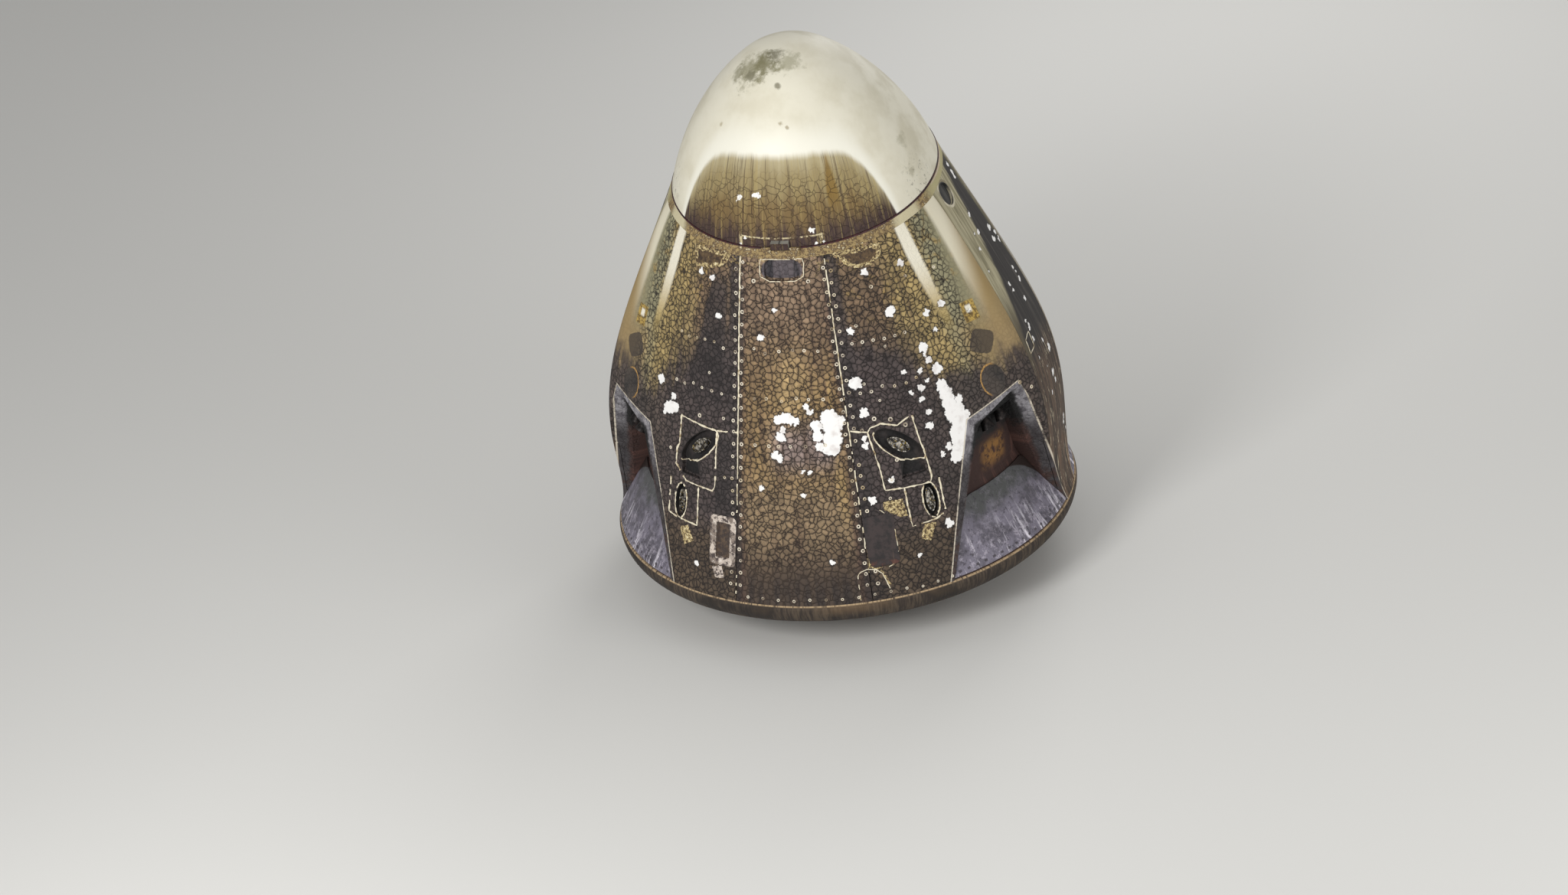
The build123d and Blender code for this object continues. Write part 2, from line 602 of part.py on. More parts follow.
outside, inside = cap_arcs(0), cap_arcs(CAP_T)
cap_edges = [Edge.make_three_point_arc(*arc) for arc in outside + inside]
cap_edges.append(Edge.make_line(outside[1][2], inside[1][2]))
cap_edges.append(Edge.make_line(outside[0][0], inside[0][0]))
cap = Solid.revolve(Face(Wire(cap_edges)), 360, Axis.Z)
flange_r = inside[0][0].X + CAP_T / 2 - CAP_FLANGE_H * tan(foot_a)
flange = Solid.make_cylinder(flange_r, CAP_FLANGE_H, Plane(origin=UP * GAP / 2))
cap = cap + (flange - Solid.make_cylinder(flange_r - CAP_FLANGE, 200, Plane(origin=UP * -50)))
cap = NOSE_PLANE.location * cap
cap_axis = NOSE_PLANE.from_local_coords(Vector(0, -NOSE_R - CAP_AXIS_OUT, 0))
cap_inward = NOSE_PLANE.y_dir
lug_at = CAP_BARREL_L / 2 + MOVE + CAP_LUG_L / 2
collar = (SHELL & ABOVE_COLLAR) - rod(cap_axis, RIGHT, 0, CAP_BARREL_L + 2 * MOVE, CAP_BARREL_R + MOVE)
cap = cap + lug(cap_axis, RIGHT, cap_inward, NOSE_UP, 0, CAP_BARREL_L, CAP_BARREL_R,
                [(60, 45), (GAP / 2, 30), (GAP / 2, 0), (0, 0)])
for sign in (1, -1):
    cap = cap - rod(cap_axis, RIGHT, sign * lug_at, CAP_LUG_L + 2 * MOVE, CAP_BARREL_R + MOVE)
    collar = collar + lug(cap_axis, RIGHT, cap_inward, -NOSE_UP, sign * lug_at, CAP_LUG_L,
                          CAP_BARREL_R, [(60, 20), (GAP / 2, 20), (GAP / 2, 0), (0, 0)])
cap = cap - rod(cap_axis, RIGHT, 0, CAP_BARREL_L + 2, HINGE_PIN_R + PIN_CLEAR)
collar = collar + rod(cap_axis, RIGHT, 0, CAP_BARREL_L + 2 * MOVE + CAP_LUG_L, HINGE_PIN_R)
NODES["forward_collar"] = one(collar)
NODES["nose_cap"] = one(cap)

# Docking adapter on the forward deck
adapter_low = DECK_Z + SEAT
adapter_top = DECK_Z + TUNNEL_H
NODES["docking_tunnel"] = one(
    tube(adapter_low, adapter_top, TUNNEL_R + TUNNEL_WALL, TUNNEL_R)
    + tube(adapter_top - FLANGE_T, adapter_top, FLANGE_R, TUNNEL_R))
capture_z = adapter_top + CAPTURE_RISE
capture_in = CAPTURE_R - CAPTURE_SECTION
capture = tube(capture_z, capture_z + CAPTURE_SECTION, CAPTURE_R, capture_in)
for i in range(3):
    out = toward(60 + 120 * i)
    plane = Plane(origin=out * (capture_in + 8) + UP * capture_z, x_dir=UP.cross(out), z_dir=out)
    petal = prism(plane, [(-150, 0), (150, 0), (70, PETAL_H), (-70, PETAL_H)], -22, 0)
    capture = capture + petal.rotate(Axis(plane.origin, plane.x_dir), PETAL_LEAN)
NODES["soft_capture_ring"] = one(capture)
struts = []
for i in range(6):
    foot = at(60 * i + 15, CAPTURE_R - 60, adapter_top + SEAT)
    head = at(60 * i + (30 if i % 2 else 0), CAPTURE_R - CAPTURE_SECTION / 2, capture_z - SEAT)
    spare = (head - foot) * 0.2
    level = Solid.make_box(FAR, FAR, head.Z - foot.Z, Plane(origin=(-FAR / 2, -FAR / 2, foot.Z)))
    struts.append(one(cylinder(foot - spare, head + spare, STRUT_R) & level))
NODES["capture_struts"] = Compound(children=struts)
bells = []
for i in range(4):
    foot = at(45 + 90 * i, FORWARD_NOZZLE_AT, adapter_low)
    bell = Solid.make_cone(FORWARD_NOZZLE_R * 0.5, FORWARD_NOZZLE_R, FORWARD_NOZZLE_H, Plane(origin=foot))
    bells.append(bell - Solid.make_cone(FORWARD_NOZZLE_R * 0.4, FORWARD_NOZZLE_R - 6,
                                        FORWARD_NOZZLE_H, Plane(origin=foot + UP * 12)))
NODES["forward_thrusters"] = Compound(children=bells)

# Forward hatch under the deck: it swings down into the cabin
inner_top = ceiling_z - MOVE
inner_r = TUNNEL_R + INNER_HATCH_LAP
forward_hatch = (
    Solid.make_cylinder(inner_r, INNER_HATCH_T, Plane(origin=UP * (inner_top - INNER_HATCH_T)))
    + Solid.make_cylinder(TUNNEL_R - 20, 30, Plane(origin=UP * (inner_top - 1))))
inner_axis = Vector(0, inner_r + INNER_AXIS_OUT, inner_top - INNER_HATCH_T / 2)
inner_barrel = 16.0
forward_hatch = forward_hatch + lug(inner_axis, RIGHT, UP, Vector(0, -1, 0), 0, 160, inner_barrel,
                                    [(90, inner_barrel), (0, inner_barrel)])
NODES["forward_hatch"] = one(forward_hatch - rod(inner_axis, RIGHT, 0, 170, HINGE_PIN_R + PIN_CLEAR))
hinge = rod(inner_axis, RIGHT, 0, 250, HINGE_PIN_R)
lug_top = ceiling_z - SEAT - inner_axis.Z
for sign in (1, -1):
    hinge = hinge + lug(inner_axis, RIGHT, Vector(0, 1, 0), UP, sign * (80 + MOVE + 22), 44,
                        inner_barrel, [(lug_top, inner_barrel), (0, inner_barrel)])
NODES["forward_hatch_hinge"] = one(hinge)

# Side hatch: a stepped plug, hinged on the leeward panel
leeward = (SHELL & wedge(180 - LEEWARD_EDGE, 180 + LEEWARD_EDGE)) - ABOVE_PANELS
leeward = leeward - rounded(hatch_plane, HATCH_W + 2 * HATCH_GAP, HATCH_H + 2 * HATCH_GAP,
                            HATCH_CORNER + HATCH_GAP, -300, 300)
door = (OUTER - cone_inside(PANEL_T - MOVE)) & rounded(
    hatch_plane, HATCH_W, HATCH_H, HATCH_CORNER, -300, 300)
door = door + ((OUTER - cone_inside(PANEL_T + VESSEL_T)) & rounded(
    hatch_plane, plug_w, plug_h, HATCH_CORNER - 20, -300, 300))
half_w = HATCH_W / 2 + HATCH_AXIS_SIDE
edge_drop = core_r(HATCH_Z) - sqrt(core_r(HATCH_Z) ** 2 - half_w ** 2)
hatch_axis = hatch_plane.from_local_coords(Vector(half_w, 0, HATCH_AXIS_OUT - edge_drop))
hatch_up, hatch_side, hatch_in = hatch_plane.y_dir, hatch_plane.x_dir, -hatch_plane.z_dir
keep_out = cone_inside(PANEL_T - 30)
for t in HATCH_HINGES:
    moving = lug(hatch_axis, hatch_up, hatch_in, -hatch_side, t, HATCH_BARREL_L, HATCH_BARREL_R,
                 [(80, 30), (26, 30), (26, 6), (0, 6)])
    door = door + moving
    for sign in (1, -1):
        place = t + sign * (HATCH_BARREL_L / 2 + MOVE + HATCH_LUG_L / 2)
        fixed = lug(hatch_axis, hatch_up, hatch_in, hatch_side, place, HATCH_LUG_L, HATCH_BARREL_R,
                    [(60, 62), (16, 46), (16, 0), (0, 0)])
        leeward = leeward + (fixed - keep_out)
    door = door - rod(hatch_axis, hatch_up, t, HATCH_BARREL_L + 2, HINGE_PIN_R + PIN_CLEAR)
    leeward = leeward + rod(hatch_axis, hatch_up, t, HATCH_BARREL_L + 2 * MOVE + HATCH_LUG_L, HINGE_PIN_R)
NODES["leeward_panel"] = one(leeward)
NODES["side_hatch"] = one(door)

# Cabin: floor, four reclined seats and a display console hung from the deck
floor_z = SEAM_Z + FLOOR_ABOVE
NODES["cabin_floor"] = Solid.make_cylinder(VESSEL_R - VESSEL_T - SEAT, FLOOR_T, Plane(origin=UP * floor_z))
seat_profile = [(-640, 0), (300, 0), (300, 300), (520, 420), (500, 500), (240, 400),
                (-60, 330), (-760, 640), (-800, 560), (-640, 440)]
for i in range(4):
    corner = Vector((i - 1.5) * SEAT_PITCH - SEAT_W / 2, 0, floor_z + FLOOR_T + SEAT)
    NODES[f"crew_seat_{i + 1}"] = prism(
        Plane(origin=corner, x_dir=(0, 1, 0), z_dir=RIGHT), seat_profile, 0, SEAT_W)
console_z = floor_z + CONSOLE_ABOVE
console_plane = Plane(origin=(0, 150, console_z), x_dir=RIGHT, z_dir=Vector(0, -0.5, -sqrt(0.75)))
console = rounded(console_plane, CONSOLE_W, CONSOLE_TALL, 40, 0, CONSOLE_T)
for sign in (1, -1):
    foot = Vector(sign * CONSOLE_POST_AT - CONSOLE_POST / 2, 150, console_z - 30)
    console = console + Solid.make_box(CONSOLE_POST, CONSOLE_POST, ceiling_z - SEAT - foot.Z,
                                       Plane(origin=foot))
NODES["control_console"] = one(console)

for name, shape in NODES.items():
    export_step(shape, f"parts/{name}.step")
for label, point in (("nose cap axis", cap_axis), ("side hatch axis", hatch_axis),
                     ("side hatch up", hatch_up), ("forward hatch axis", inner_axis)):
    print(label, [round(v, 4) for v in point])
print("kink", round(KINK_Z, 1), "hatch", round(HATCH_Z, 1), "deck", DECK_Z,
      "tie mouth", round(tie_mouth, 1), "cone", round(degrees(CONE_ANGLE), 2))
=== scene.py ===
import random
from math import atan2, cos, degrees, hypot, pi, radians, sin

import bmesh
import bpy
from mathutils import Matrix, Vector, noise
from mathutils.bvhtree import BVHTree


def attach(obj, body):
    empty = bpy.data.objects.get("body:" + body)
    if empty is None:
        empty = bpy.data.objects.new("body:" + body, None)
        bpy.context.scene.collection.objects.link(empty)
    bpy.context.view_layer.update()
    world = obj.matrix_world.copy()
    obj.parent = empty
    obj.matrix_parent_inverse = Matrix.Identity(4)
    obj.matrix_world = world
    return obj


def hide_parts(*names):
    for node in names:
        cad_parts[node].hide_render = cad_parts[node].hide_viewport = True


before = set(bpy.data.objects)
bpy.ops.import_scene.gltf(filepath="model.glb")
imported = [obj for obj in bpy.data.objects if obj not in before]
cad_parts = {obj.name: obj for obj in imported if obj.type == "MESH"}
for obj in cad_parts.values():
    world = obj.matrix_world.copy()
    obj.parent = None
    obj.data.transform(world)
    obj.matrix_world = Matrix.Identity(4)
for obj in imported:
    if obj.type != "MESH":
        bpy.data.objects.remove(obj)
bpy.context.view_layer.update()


# Heat shield: a dished carrier under a coat of ablative tiles, pressed and bonded edge to
# edge. The rim charred tan-brown with a fine upright grain, the dished underside darker.
def tint(code):
    """Colour from its six-digit web code, as light levels."""
    levels = [int(code[i:i + 2], 16) / 255 for i in (0, 2, 4)]
    return tuple(v / 12.92 if v <= 0.04045 else ((v + 0.055) / 1.055) ** 2.4 for v in levels) + (1.0,)


class Field:
    """A value or colour that varies over a finish; arithmetic on it adds Math nodes."""

    def __init__(self, finish, socket):
        self.finish, self.socket = finish, socket

    def math(self, operation, *others):
        return self.finish.node("Math", {"operation": operation}, (self, *others))

    def __add__(self, other):
        return self.math("ADD", other)

    def __sub__(self, other):
        return self.math("SUBTRACT", other)

    def __mul__(self, other):
        return self.math("MULTIPLY", other)

    def __truediv__(self, other):
        return self.math("DIVIDE", other)

    def __rsub__(self, other):
        return self.finish.node("Math", {"operation": "SUBTRACT"}, (other, self))

    __radd__, __rmul__ = __add__, __mul__

    def least(self, other):
        return self.math("MINIMUM", other)

    def most(self, other):
        return self.math("MAXIMUM", other)

    def ramp(self, low, high):
        """Smooth step from 0 at low to 1 at high; low may be the larger."""
        return self.finish.node("MapRange", {"interpolation_type": "SMOOTHSTEP"},
                                {"Value": self, "From Min": low, "From Max": high})

    def within(self, low, high, soft):
        """1 between two values, fading out over a soft edge."""
        return self.ramp(low - soft, low + soft) * self.ramp(high + soft, high - soft)

    def abs(self):
        return self.math("ABSOLUTE")

    def beat(self, period):
        """0 in the middle of each period and 0.5 at its ends."""
        return ((self / period).math("FRACT") - 0.5).abs()

    def over(self, *coats):
        """This colour with others laid over it in turn, each followed by its share."""
        shown = self
        for colour, share in zip(coats[::2], coats[1::2]):
            shown = self.finish.mix(shown, colour, share)
        return shown

    def scaled(self, amount):
        """This colour or vector made smaller or larger by a factor."""
        return self.finish.node("VectorMath", {"operation": "SCALE"},
                                {"Vector": self, "Scale": amount})


class Finish:
    """A material with one shader, and the places on the craft that its patterns read."""

    def __init__(self, name, metal=0.0, rough=0.6):
        self.material = bpy.data.materials.new(name)
        self.material.use_nodes = True
        self.tree = self.material.node_tree
        self.shader = self.tree.nodes["Principled BSDF"]
        self.shader.inputs["Metallic"].default_value = metal
        self.shader.inputs["Roughness"].default_value = rough
        self.place = self.node("TexCoord", {}, {}, "Object")
        self.x, self.y, self.z = (
            self.node("SeparateXYZ", {}, {"Vector": self.place}, axis) for axis in "XYZ")
        self.radius = (self.x * self.x + self.y * self.y).math("SQRT")
        self.turn = self.x / self.radius, self.y / self.radius
        self.angle = self.x.math("ARCTAN2", self.y * -1.0) * degrees(1.0)
        self.aside = self.angle.abs()

    def node(self, kind, settings, inputs, output=0):
        made = self.tree.nodes.new("ShaderNode" + kind)
        for key, value in settings.items():
            setattr(made, key, value)
        for key, value in inputs.items() if isinstance(inputs, dict) else enumerate(inputs):
            self.feed(made.inputs[key], value)
        return Field(self, made.outputs[output])

    def feed(self, socket, value):
        if isinstance(value, Field):
            self.tree.links.new(value.socket, socket)
        else:
            socket.default_value = tint(value) if isinstance(value, str) else value

    def point(self, x, y, z):
        return self.node("CombineXYZ", {}, (x, y, z))

    def grain(self, across, along, detail=4.0, rough=0.6):
        """Noise drawn out into streaks up and down the skin."""
        skin_place = self.point(self.turn[0] * across, self.turn[1] * across, self.z * along)
        return self.noise(1.0, detail, rough, skin_place)

    def noise(self, scale, detail=3.0, rough=0.55, place=None, output=0):
        return self.node("TexNoise", {}, {
            "Vector": place or self.place, "Scale": scale, "Detail": detail,
            "Roughness": rough}, output)

    def cells(self, feature, scale, output="Distance", place=None):
        return self.node("TexVoronoi", {"feature": feature}, {
            "Vector": place or self.place, "Scale": scale}, output)

    def vector(self, operation, first, second, output=0):
        return self.node("VectorMath", {"operation": operation}, (first, second), output)

    def away(self, place, azimuth, z):
        """Distance of a place from a point on the skin."""
        return self.vector("DISTANCE", place, tuple(skin(azimuth, z)[0]), "Value")

    def patch(self, sides, side_soft, ends, end_soft):
        """1 on the skin between two azimuths and two heights, fading out at its edges."""
        return self.angle.within(*sides, side_soft) * self.z.within(*ends, end_soft)

    def mix(self, first, second, share):
        """From one colour to another by a share."""
        return self.node("Mix", {"data_type": "RGBA"}, {0: share, 6: first, 7: second}, 2)

    def shaken(self, scale, detail, rough, reach):
        """Places on the craft, shifted about by a noise."""
        shift = self.noise(scale, detail, rough, output="Color")
        shift = self.vector("SUBTRACT", shift, (0.5, 0.5, 0.5)).scaled(reach)
        return self.vector("ADD", self.place, shift)

    def bump(self, height, depth):
        """Relief from a height between 0 and 1, that many metres deep."""
        normal = self.node("Bump", {}, {"Height": height, "Distance": depth}, "Normal")
        self.feed(self.shader.inputs["Normal"], normal)

    def finish(self, colour, rough=None, metal=None):
        self.feed(self.shader.inputs["Base Color"], colour)
        if rough is not None:
            self.feed(self.shader.inputs["Roughness"], rough)
        if metal is not None:
            self.feed(self.shader.inputs["Metallic"], metal)
        return self.material


def coat(material, *nodes):
    """Gives carried-over solids their finish."""
    for node in nodes:
        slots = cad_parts[node].data.materials
        slots.clear()
        slots.append(material)


TILE_SIDE = 0.8 / 3
shield = Finish("charred_tiles", rough=0.88)
grain = shield.grain(90.0, 5.0, rough=0.65)
blotch = shield.noise(2.6, 4.0, 0.6)
rim = shield.mix("54483b", "332b26", grain.ramp(0.36, 0.6)).over(
    "241f1c", blotch.ramp(0.44, 0.6) * 0.8,
    "7a6348", shield.noise(1.3, 3.0).ramp(0.52, 0.68) * shield.z.ramp(0.45, 0.55) * 0.5,
    "b39a78", shield.z.ramp(0.562, 0.574) * grain.ramp(0.34, 0.55))
tile_lines = [axis.beat(TILE_SIDE).ramp(0.482, 0.492) for axis in (shield.x, shield.y)]
joint = tile_lines[0].most(tile_lines[1]) * shield.radius.ramp(1.93, 1.9)
tile = shield.vector("MULTIPLY", shield.place, (1 / TILE_SIDE, 1 / TILE_SIDE, 0.0))
tile = shield.node("VectorMath", {"operation": "FLOOR"}, (tile,))
square = shield.node("TexWhiteNoise", {}, {"Vector": tile})
under = shield.mix("4a403a", "6b5a4b", blotch.ramp(0.35, 0.68)).scaled(square * 0.3 + 0.8).over(
    "1f1a18", joint)
skirt = shield.radius.ramp(1.87, 1.95)
shield.bump(grain * skirt * 0.5 + shield.noise(160.0, 2.0) * 0.4 + (1.0 - joint) * 0.6, 0.004)
coat(shield.finish(shield.mix(under, rim, skirt)), "heat_shield")


# Pressure vessel: the welded aluminium hull under the shell. Inside it is lined with pale
# panels; the forward deck under the nose cap is covered by a crumpled silvery blanket.
vessel = Finish("lined_hull", rough=0.55)
crumple = vessel.noise(7.0, 4.0, 0.6)
levels = vessel.z.beat(1 / 2.4).ramp(0.484, 0.492)
uprights = vessel.angle.beat(30.0).ramp(0.488, 0.494)
seams = levels.most(uprights)
lining = vessel.mix("d6d7d2", "bfc1bd", crumple.ramp(0.4, 0.65)).over("77797a", seams)
deck = vessel.z.ramp(3.46, 3.47)
creases = (vessel.noise(9.0, 5.0, 0.6) - 0.5).abs().ramp(0.0, 0.14)
creases = creases * (vessel.noise(5.0, 4.0, 0.55) - 0.5).abs().ramp(-0.06, 0.12)
silver = vessel.mix("a19e96", "d3d0c7", creases)
vessel.bump((1.0 - seams) * (1.0 - deck) * 0.3 + creases * deck, 0.012)
coat(vessel.finish(lining.over(silver, deck), 0.55 - deck * 0.2, deck * 0.7), "pressure_vessel")


# Cabin floor: honeycomb panels with a satin aluminium skin, screwed down along their edges
# with dimpled screws, and scuffed by boots.
PANEL_SIDE = 1 / 1.85
floor_panel = Finish("floor_panels")
panel_lines = [axis.beat(PANEL_SIDE).ramp(0.488, 0.493) for axis in (floor_panel.x, floor_panel.y)]
gaps = panel_lines[0].most(panel_lines[1])
scuffs = floor_panel.noise(5.0, 6.0, 0.7)
satin = floor_panel.mix("8f9397", "6f7376", scuffs.ramp(0.4, 0.7))
dimples = floor_panel.cells("F1", 12.0, place=floor_panel.point(floor_panel.x, floor_panel.y, 0.0))
floor_panel.bump(1.0 - gaps - dimples.ramp(0.1, 0.06) * 0.5, 0.002)
coat(floor_panel.finish(satin.over("2c2e30", gaps), scuffs * 0.3 + 0.3, 0.6 - gaps * 0.5), "cabin_floor")


# Crew seats: four moulded shells of dark composite on posts bolted to the floor. Each has
# sewn white pads for legs, seat, back and head, and a webbing harness over them.
SEAT_MIDDLES = (-0.81, -0.27, 0.27, 0.81)
SEAT_FOOT = 1.1803
SEAT_LINE = [(0.505, 0.452), (0.240, 0.352), (-0.060, 0.282), (-0.560, 0.503), (-0.770, 0.596)]
SEAT_POST = [(-0.55, 0.0), (0.22, 0.0), (0.20, 0.27), (-0.06, 0.23), (-0.50, 0.42)]


def link(thing):
    """Puts an object into the scene."""
    bpy.context.scene.collection.objects.link(thing)


def piece(name, shape, body, *finishes):
    """Object from a finished bmesh, riding on a body."""
    bmesh.ops.recalc_face_normals(shape, faces=shape.faces)
    mesh = bpy.data.meshes.new(name)
    shape.to_mesh(mesh)
    shape.free()
    for finish in finishes:
        mesh.materials.append(finish)
    made = bpy.data.objects.new(name, mesh)
    link(made)
    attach(made, body)
    return made


def slab(shape, outline, low, high):
    """Adds a bar with an outline of (along, height) points between two x values."""
    face = shape.faces.new([shape.verts.new((low, y, z + SEAT_FOOT)) for y, z in outline])
    grown = bmesh.ops.extrude_face_region(shape, geom=[face])["geom"]
    moved = [v for v in grown if isinstance(v, bmesh.types.BMVert)]
    bmesh.ops.translate(shape, verts=moved, vec=(high - low, 0.0, 0.0))


def thick_line(line, low, high):
    """Closed outline of a line of (along, height) points, between two offsets from it."""
    return [(y, z + low) for y, z in line] + [(y, z + high) for y, z in reversed(line)]


def smooth(made, levels=2):
    rounding = made.modifiers.new("rounding", "SUBSURF")
    rounding.levels = rounding.render_levels = levels
    for face in made.data.polygons:
        face.use_smooth = True


composite = Finish("seat_shell", rough=0.5)
weave = composite.cells("F1", 240.0)
composite.bump(weave, 0.0006)
composite.finish(composite.mix("2b2d30", "3b3e42", weave.ramp(0.2, 0.6)),
                 composite.noise(12.0) * 0.3 + 0.35)
cover = Finish("seat_cover", rough=0.85)
threads = ((cover.x * 900.0).math("SINE") + (cover.y * 900.0).math("SINE")) * 0.25 + 0.5
folds = cover.noise(18.0, 3.0)
cover.bump(threads * 0.25 + folds, 0.003)
cover.shader.inputs["Sheen Weight"].default_value = 0.25
cover.finish(cover.mix("dcdbd5", "c3c2bb", folds.ramp(0.42, 0.7)), 0.95 - threads * 0.15)
webbing = Finish("harness_webbing", rough=0.75)
ribs = (webbing.y * 1400.0).math("SINE") * 0.5 + 0.5
webbing.bump(ribs, 0.0005)
webbing.finish(webbing.mix("26282c", "3c3f45", ribs))

for number, middle in enumerate(SEAT_MIDDLES, 1):
    shell = bmesh.new()
    slab(shell, SEAT_POST, middle - 0.16, middle + 0.16)
    slab(shell, thick_line(SEAT_LINE, -0.03, 0.0), middle - 0.225, middle + 0.225)
    for side in (-1, 1):
        rail = middle + side * 0.2175
        slab(shell, thick_line(SEAT_LINE, -0.045, 0.03), rail - 0.0125, rail + 0.0125)
    bmesh.ops.bevel(shell, geom=[e for e in shell.edges if not e.is_boundary], offset=0.006,
                    offset_type="OFFSET", segments=2, profile=0.5, affect="EDGES", material=-1)
    seat_shell = piece(f"seat_shell_{number}", shell, "capsule", composite.material)
    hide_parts(f"crew_seat_{number}")
    for part, (low, high, width) in enumerate([(0, 1, 0.38), (1, 2, 0.40), (2, 3, 0.40), (3, 4, 0.28)]):
        (y0, z0), (y1, z1) = SEAT_LINE[low], SEAT_LINE[high]
        length = hypot(y1 - y0, z1 - z0)
        pad = bmesh.new()
        bmesh.ops.create_cube(pad, size=1.0)
        bmesh.ops.subdivide_edges(pad, edges=pad.edges[:], cuts=7, use_grid_fill=True)
        for v in pad.verts:
            u, w = 1 - (2 * v.co.x) ** 2, 1 - (2 * v.co.y) ** 2
            crown = 1.0 + 0.35 * u * w if v.co.z > 0 else 1.0
            channel = 0.2 if abs(abs(v.co.y) - 0.1875) < 0.07 and v.co.z > 0.4 and u > 0.1 else 0.0
            v.co = Vector((v.co.x * (width - 0.02 * (1 - w)), v.co.y * (length - 0.012 * (1 - u)),
                           v.co.z * 0.036 * (crown - channel)))
        lay = Matrix.Translation((middle, (y0 + y1) / 2, (z0 + z1) / 2 + SEAT_FOOT + 0.024))
        lay @= Matrix.Rotation(atan2(z0 - z1, y0 - y1), 4, "X")
        bmesh.ops.transform(pad, matrix=lay, verts=pad.verts)
        seat_pad = piece(f"seat_pad_{number}_{'legs seat back head'.split()[part]}", pad, "capsule",
                         cover.material)
        smooth(seat_pad, 1)
    harness = bmesh.new()
    for side in (-0.09, 0.09):
        strap = middle + side
        slab(harness, thick_line(SEAT_LINE[1:4], 0.047, 0.050), strap - 0.022, strap + 0.022)
    slab(harness, thick_line([(0.02, 0.300), (-0.03, 0.289)], 0.050, 0.056), middle - 0.2, middle + 0.2)
    piece(f"harness_{number}", harness, "capsule", webbing.material)


# Control console: a dark frame on two posts that leans over the seats, with three display
# panes bonded side by side behind one sheet of glass.
PANE_WIDTH = 0.405
console = Finish("display_console", rough=0.45)
pane = (console.x + PANE_WIDTH / 2).beat(PANE_WIDTH).ramp(0.46, 0.45)
pane = pane * console.x.abs().ramp(0.60, 0.595) * console.z.within(2.11, 2.43, 0.003)
frame_paint = console.mix("35373a", "4a4c50", console.noise(40.0, 4.0).ramp(0.4, 0.7))
console.bump(console.noise(300.0) * (1.0 - pane), 0.0008)
coat(console.finish(frame_paint.over("0b0d10", pane), 0.5 - pane * 0.42), "control_console")


# Forward hatch and its hinge: a machined plate painted white, with a ring of stiffening
# ribs, that swings down into the cabin on a bare steel hinge.
hatch_plate = Finish("painted_hatch", rough=0.4)
rib = hatch_plate.angle.beat(22.5).ramp(0.44, 0.47)
rib = rib * hatch_plate.radius.within(0.12, 0.33, 0.01)
scrapes = hatch_plate.noise(22.0, 5.0, 0.7)
hatch_plate.bump(rib, 0.004)
white = hatch_plate.mix("d9d9d4", "bdbdb8", rib).over("8b8c8b", scrapes.ramp(0.62, 0.7))
coat(hatch_plate.finish(white, scrapes * 0.3 + 0.25), "forward_hatch")
steel = Finish("bare_steel", metal=1.0)
brush = steel.noise(1.0, 3.0, place=steel.vector("MULTIPLY", steel.place, (30.0, 400.0, 400.0)))
steel.bump(brush, 0.0003)
coat(steel.finish(steel.mix("9a9b9c", "77787a", brush.ramp(0.35, 0.65)), brush * 0.3 + 0.25),
     "forward_hatch_hinge")


# Docking adapter: a machined tunnel with a bolted flange, a dark anodised capture ring with
# three guide petals on six telescoping struts, and four small nozzles around them.
adapter = Finish("machined_adapter", metal=0.85)
turned = adapter.noise(1.0, 2.0, place=adapter.point(adapter.radius * 220.0, 0.0, adapter.z * 220.0))
dust = adapter.noise(6.0, 5.0, 0.65)
bolt = adapter.angle.beat(7.5)
bolt = bolt.ramp(0.16, 0.12) * adapter.radius.within(0.598, 0.622, 0.003) * adapter.z.ramp(3.93, 3.934)
adapter.bump(turned * 0.2 + bolt, 0.003)
dusty = adapter.mix("b5b7b9", "8e9092", dust.ramp(0.4, 0.7))
coat(adapter.finish(dusty.over("55575a", bolt), turned * 0.2 + 0.28), "docking_tunnel")
anodised = Finish("anodised_ring", metal=0.8)
handled = anodised.noise(9.0, 5.0, 0.65)
anodised.bump(anodised.noise(260.0), 0.0004)
coat(anodised.finish(anodised.mix("8c8f95", "62656b", handled.ramp(0.4, 0.65)),
                     handled * 0.3 + 0.25), "soft_capture_ring", "capture_struts")
burnt = Finish("burnt_nozzle", metal=0.9)
heat = burnt.noise(30.0, 4.0)
burnt.bump(heat, 0.001)
coat(burnt.finish(burnt.mix("6d6258", "3d3a40", heat.ramp(0.35, 0.65)), heat * 0.4 + 0.3),
     "forward_thrusters")


# Engine recesses: each service bay carries two escape engines behind a bay cut through the
# shell. The flared lip is heat-stained grey and the throat sooted maroon; towards the bay's
# roof both are painted darker as painted shade, the throat to near black.
RECESS_AXIS = radians(62.0)
SHELL_FOOT = 0.58


def across_recess(paint):
    """Distance sideways from the middle of the nearest recess, growing towards the side panel."""
    return paint.x.abs() * cos(RECESS_AXIS) - paint.y.abs() * sin(RECESS_AXIS)


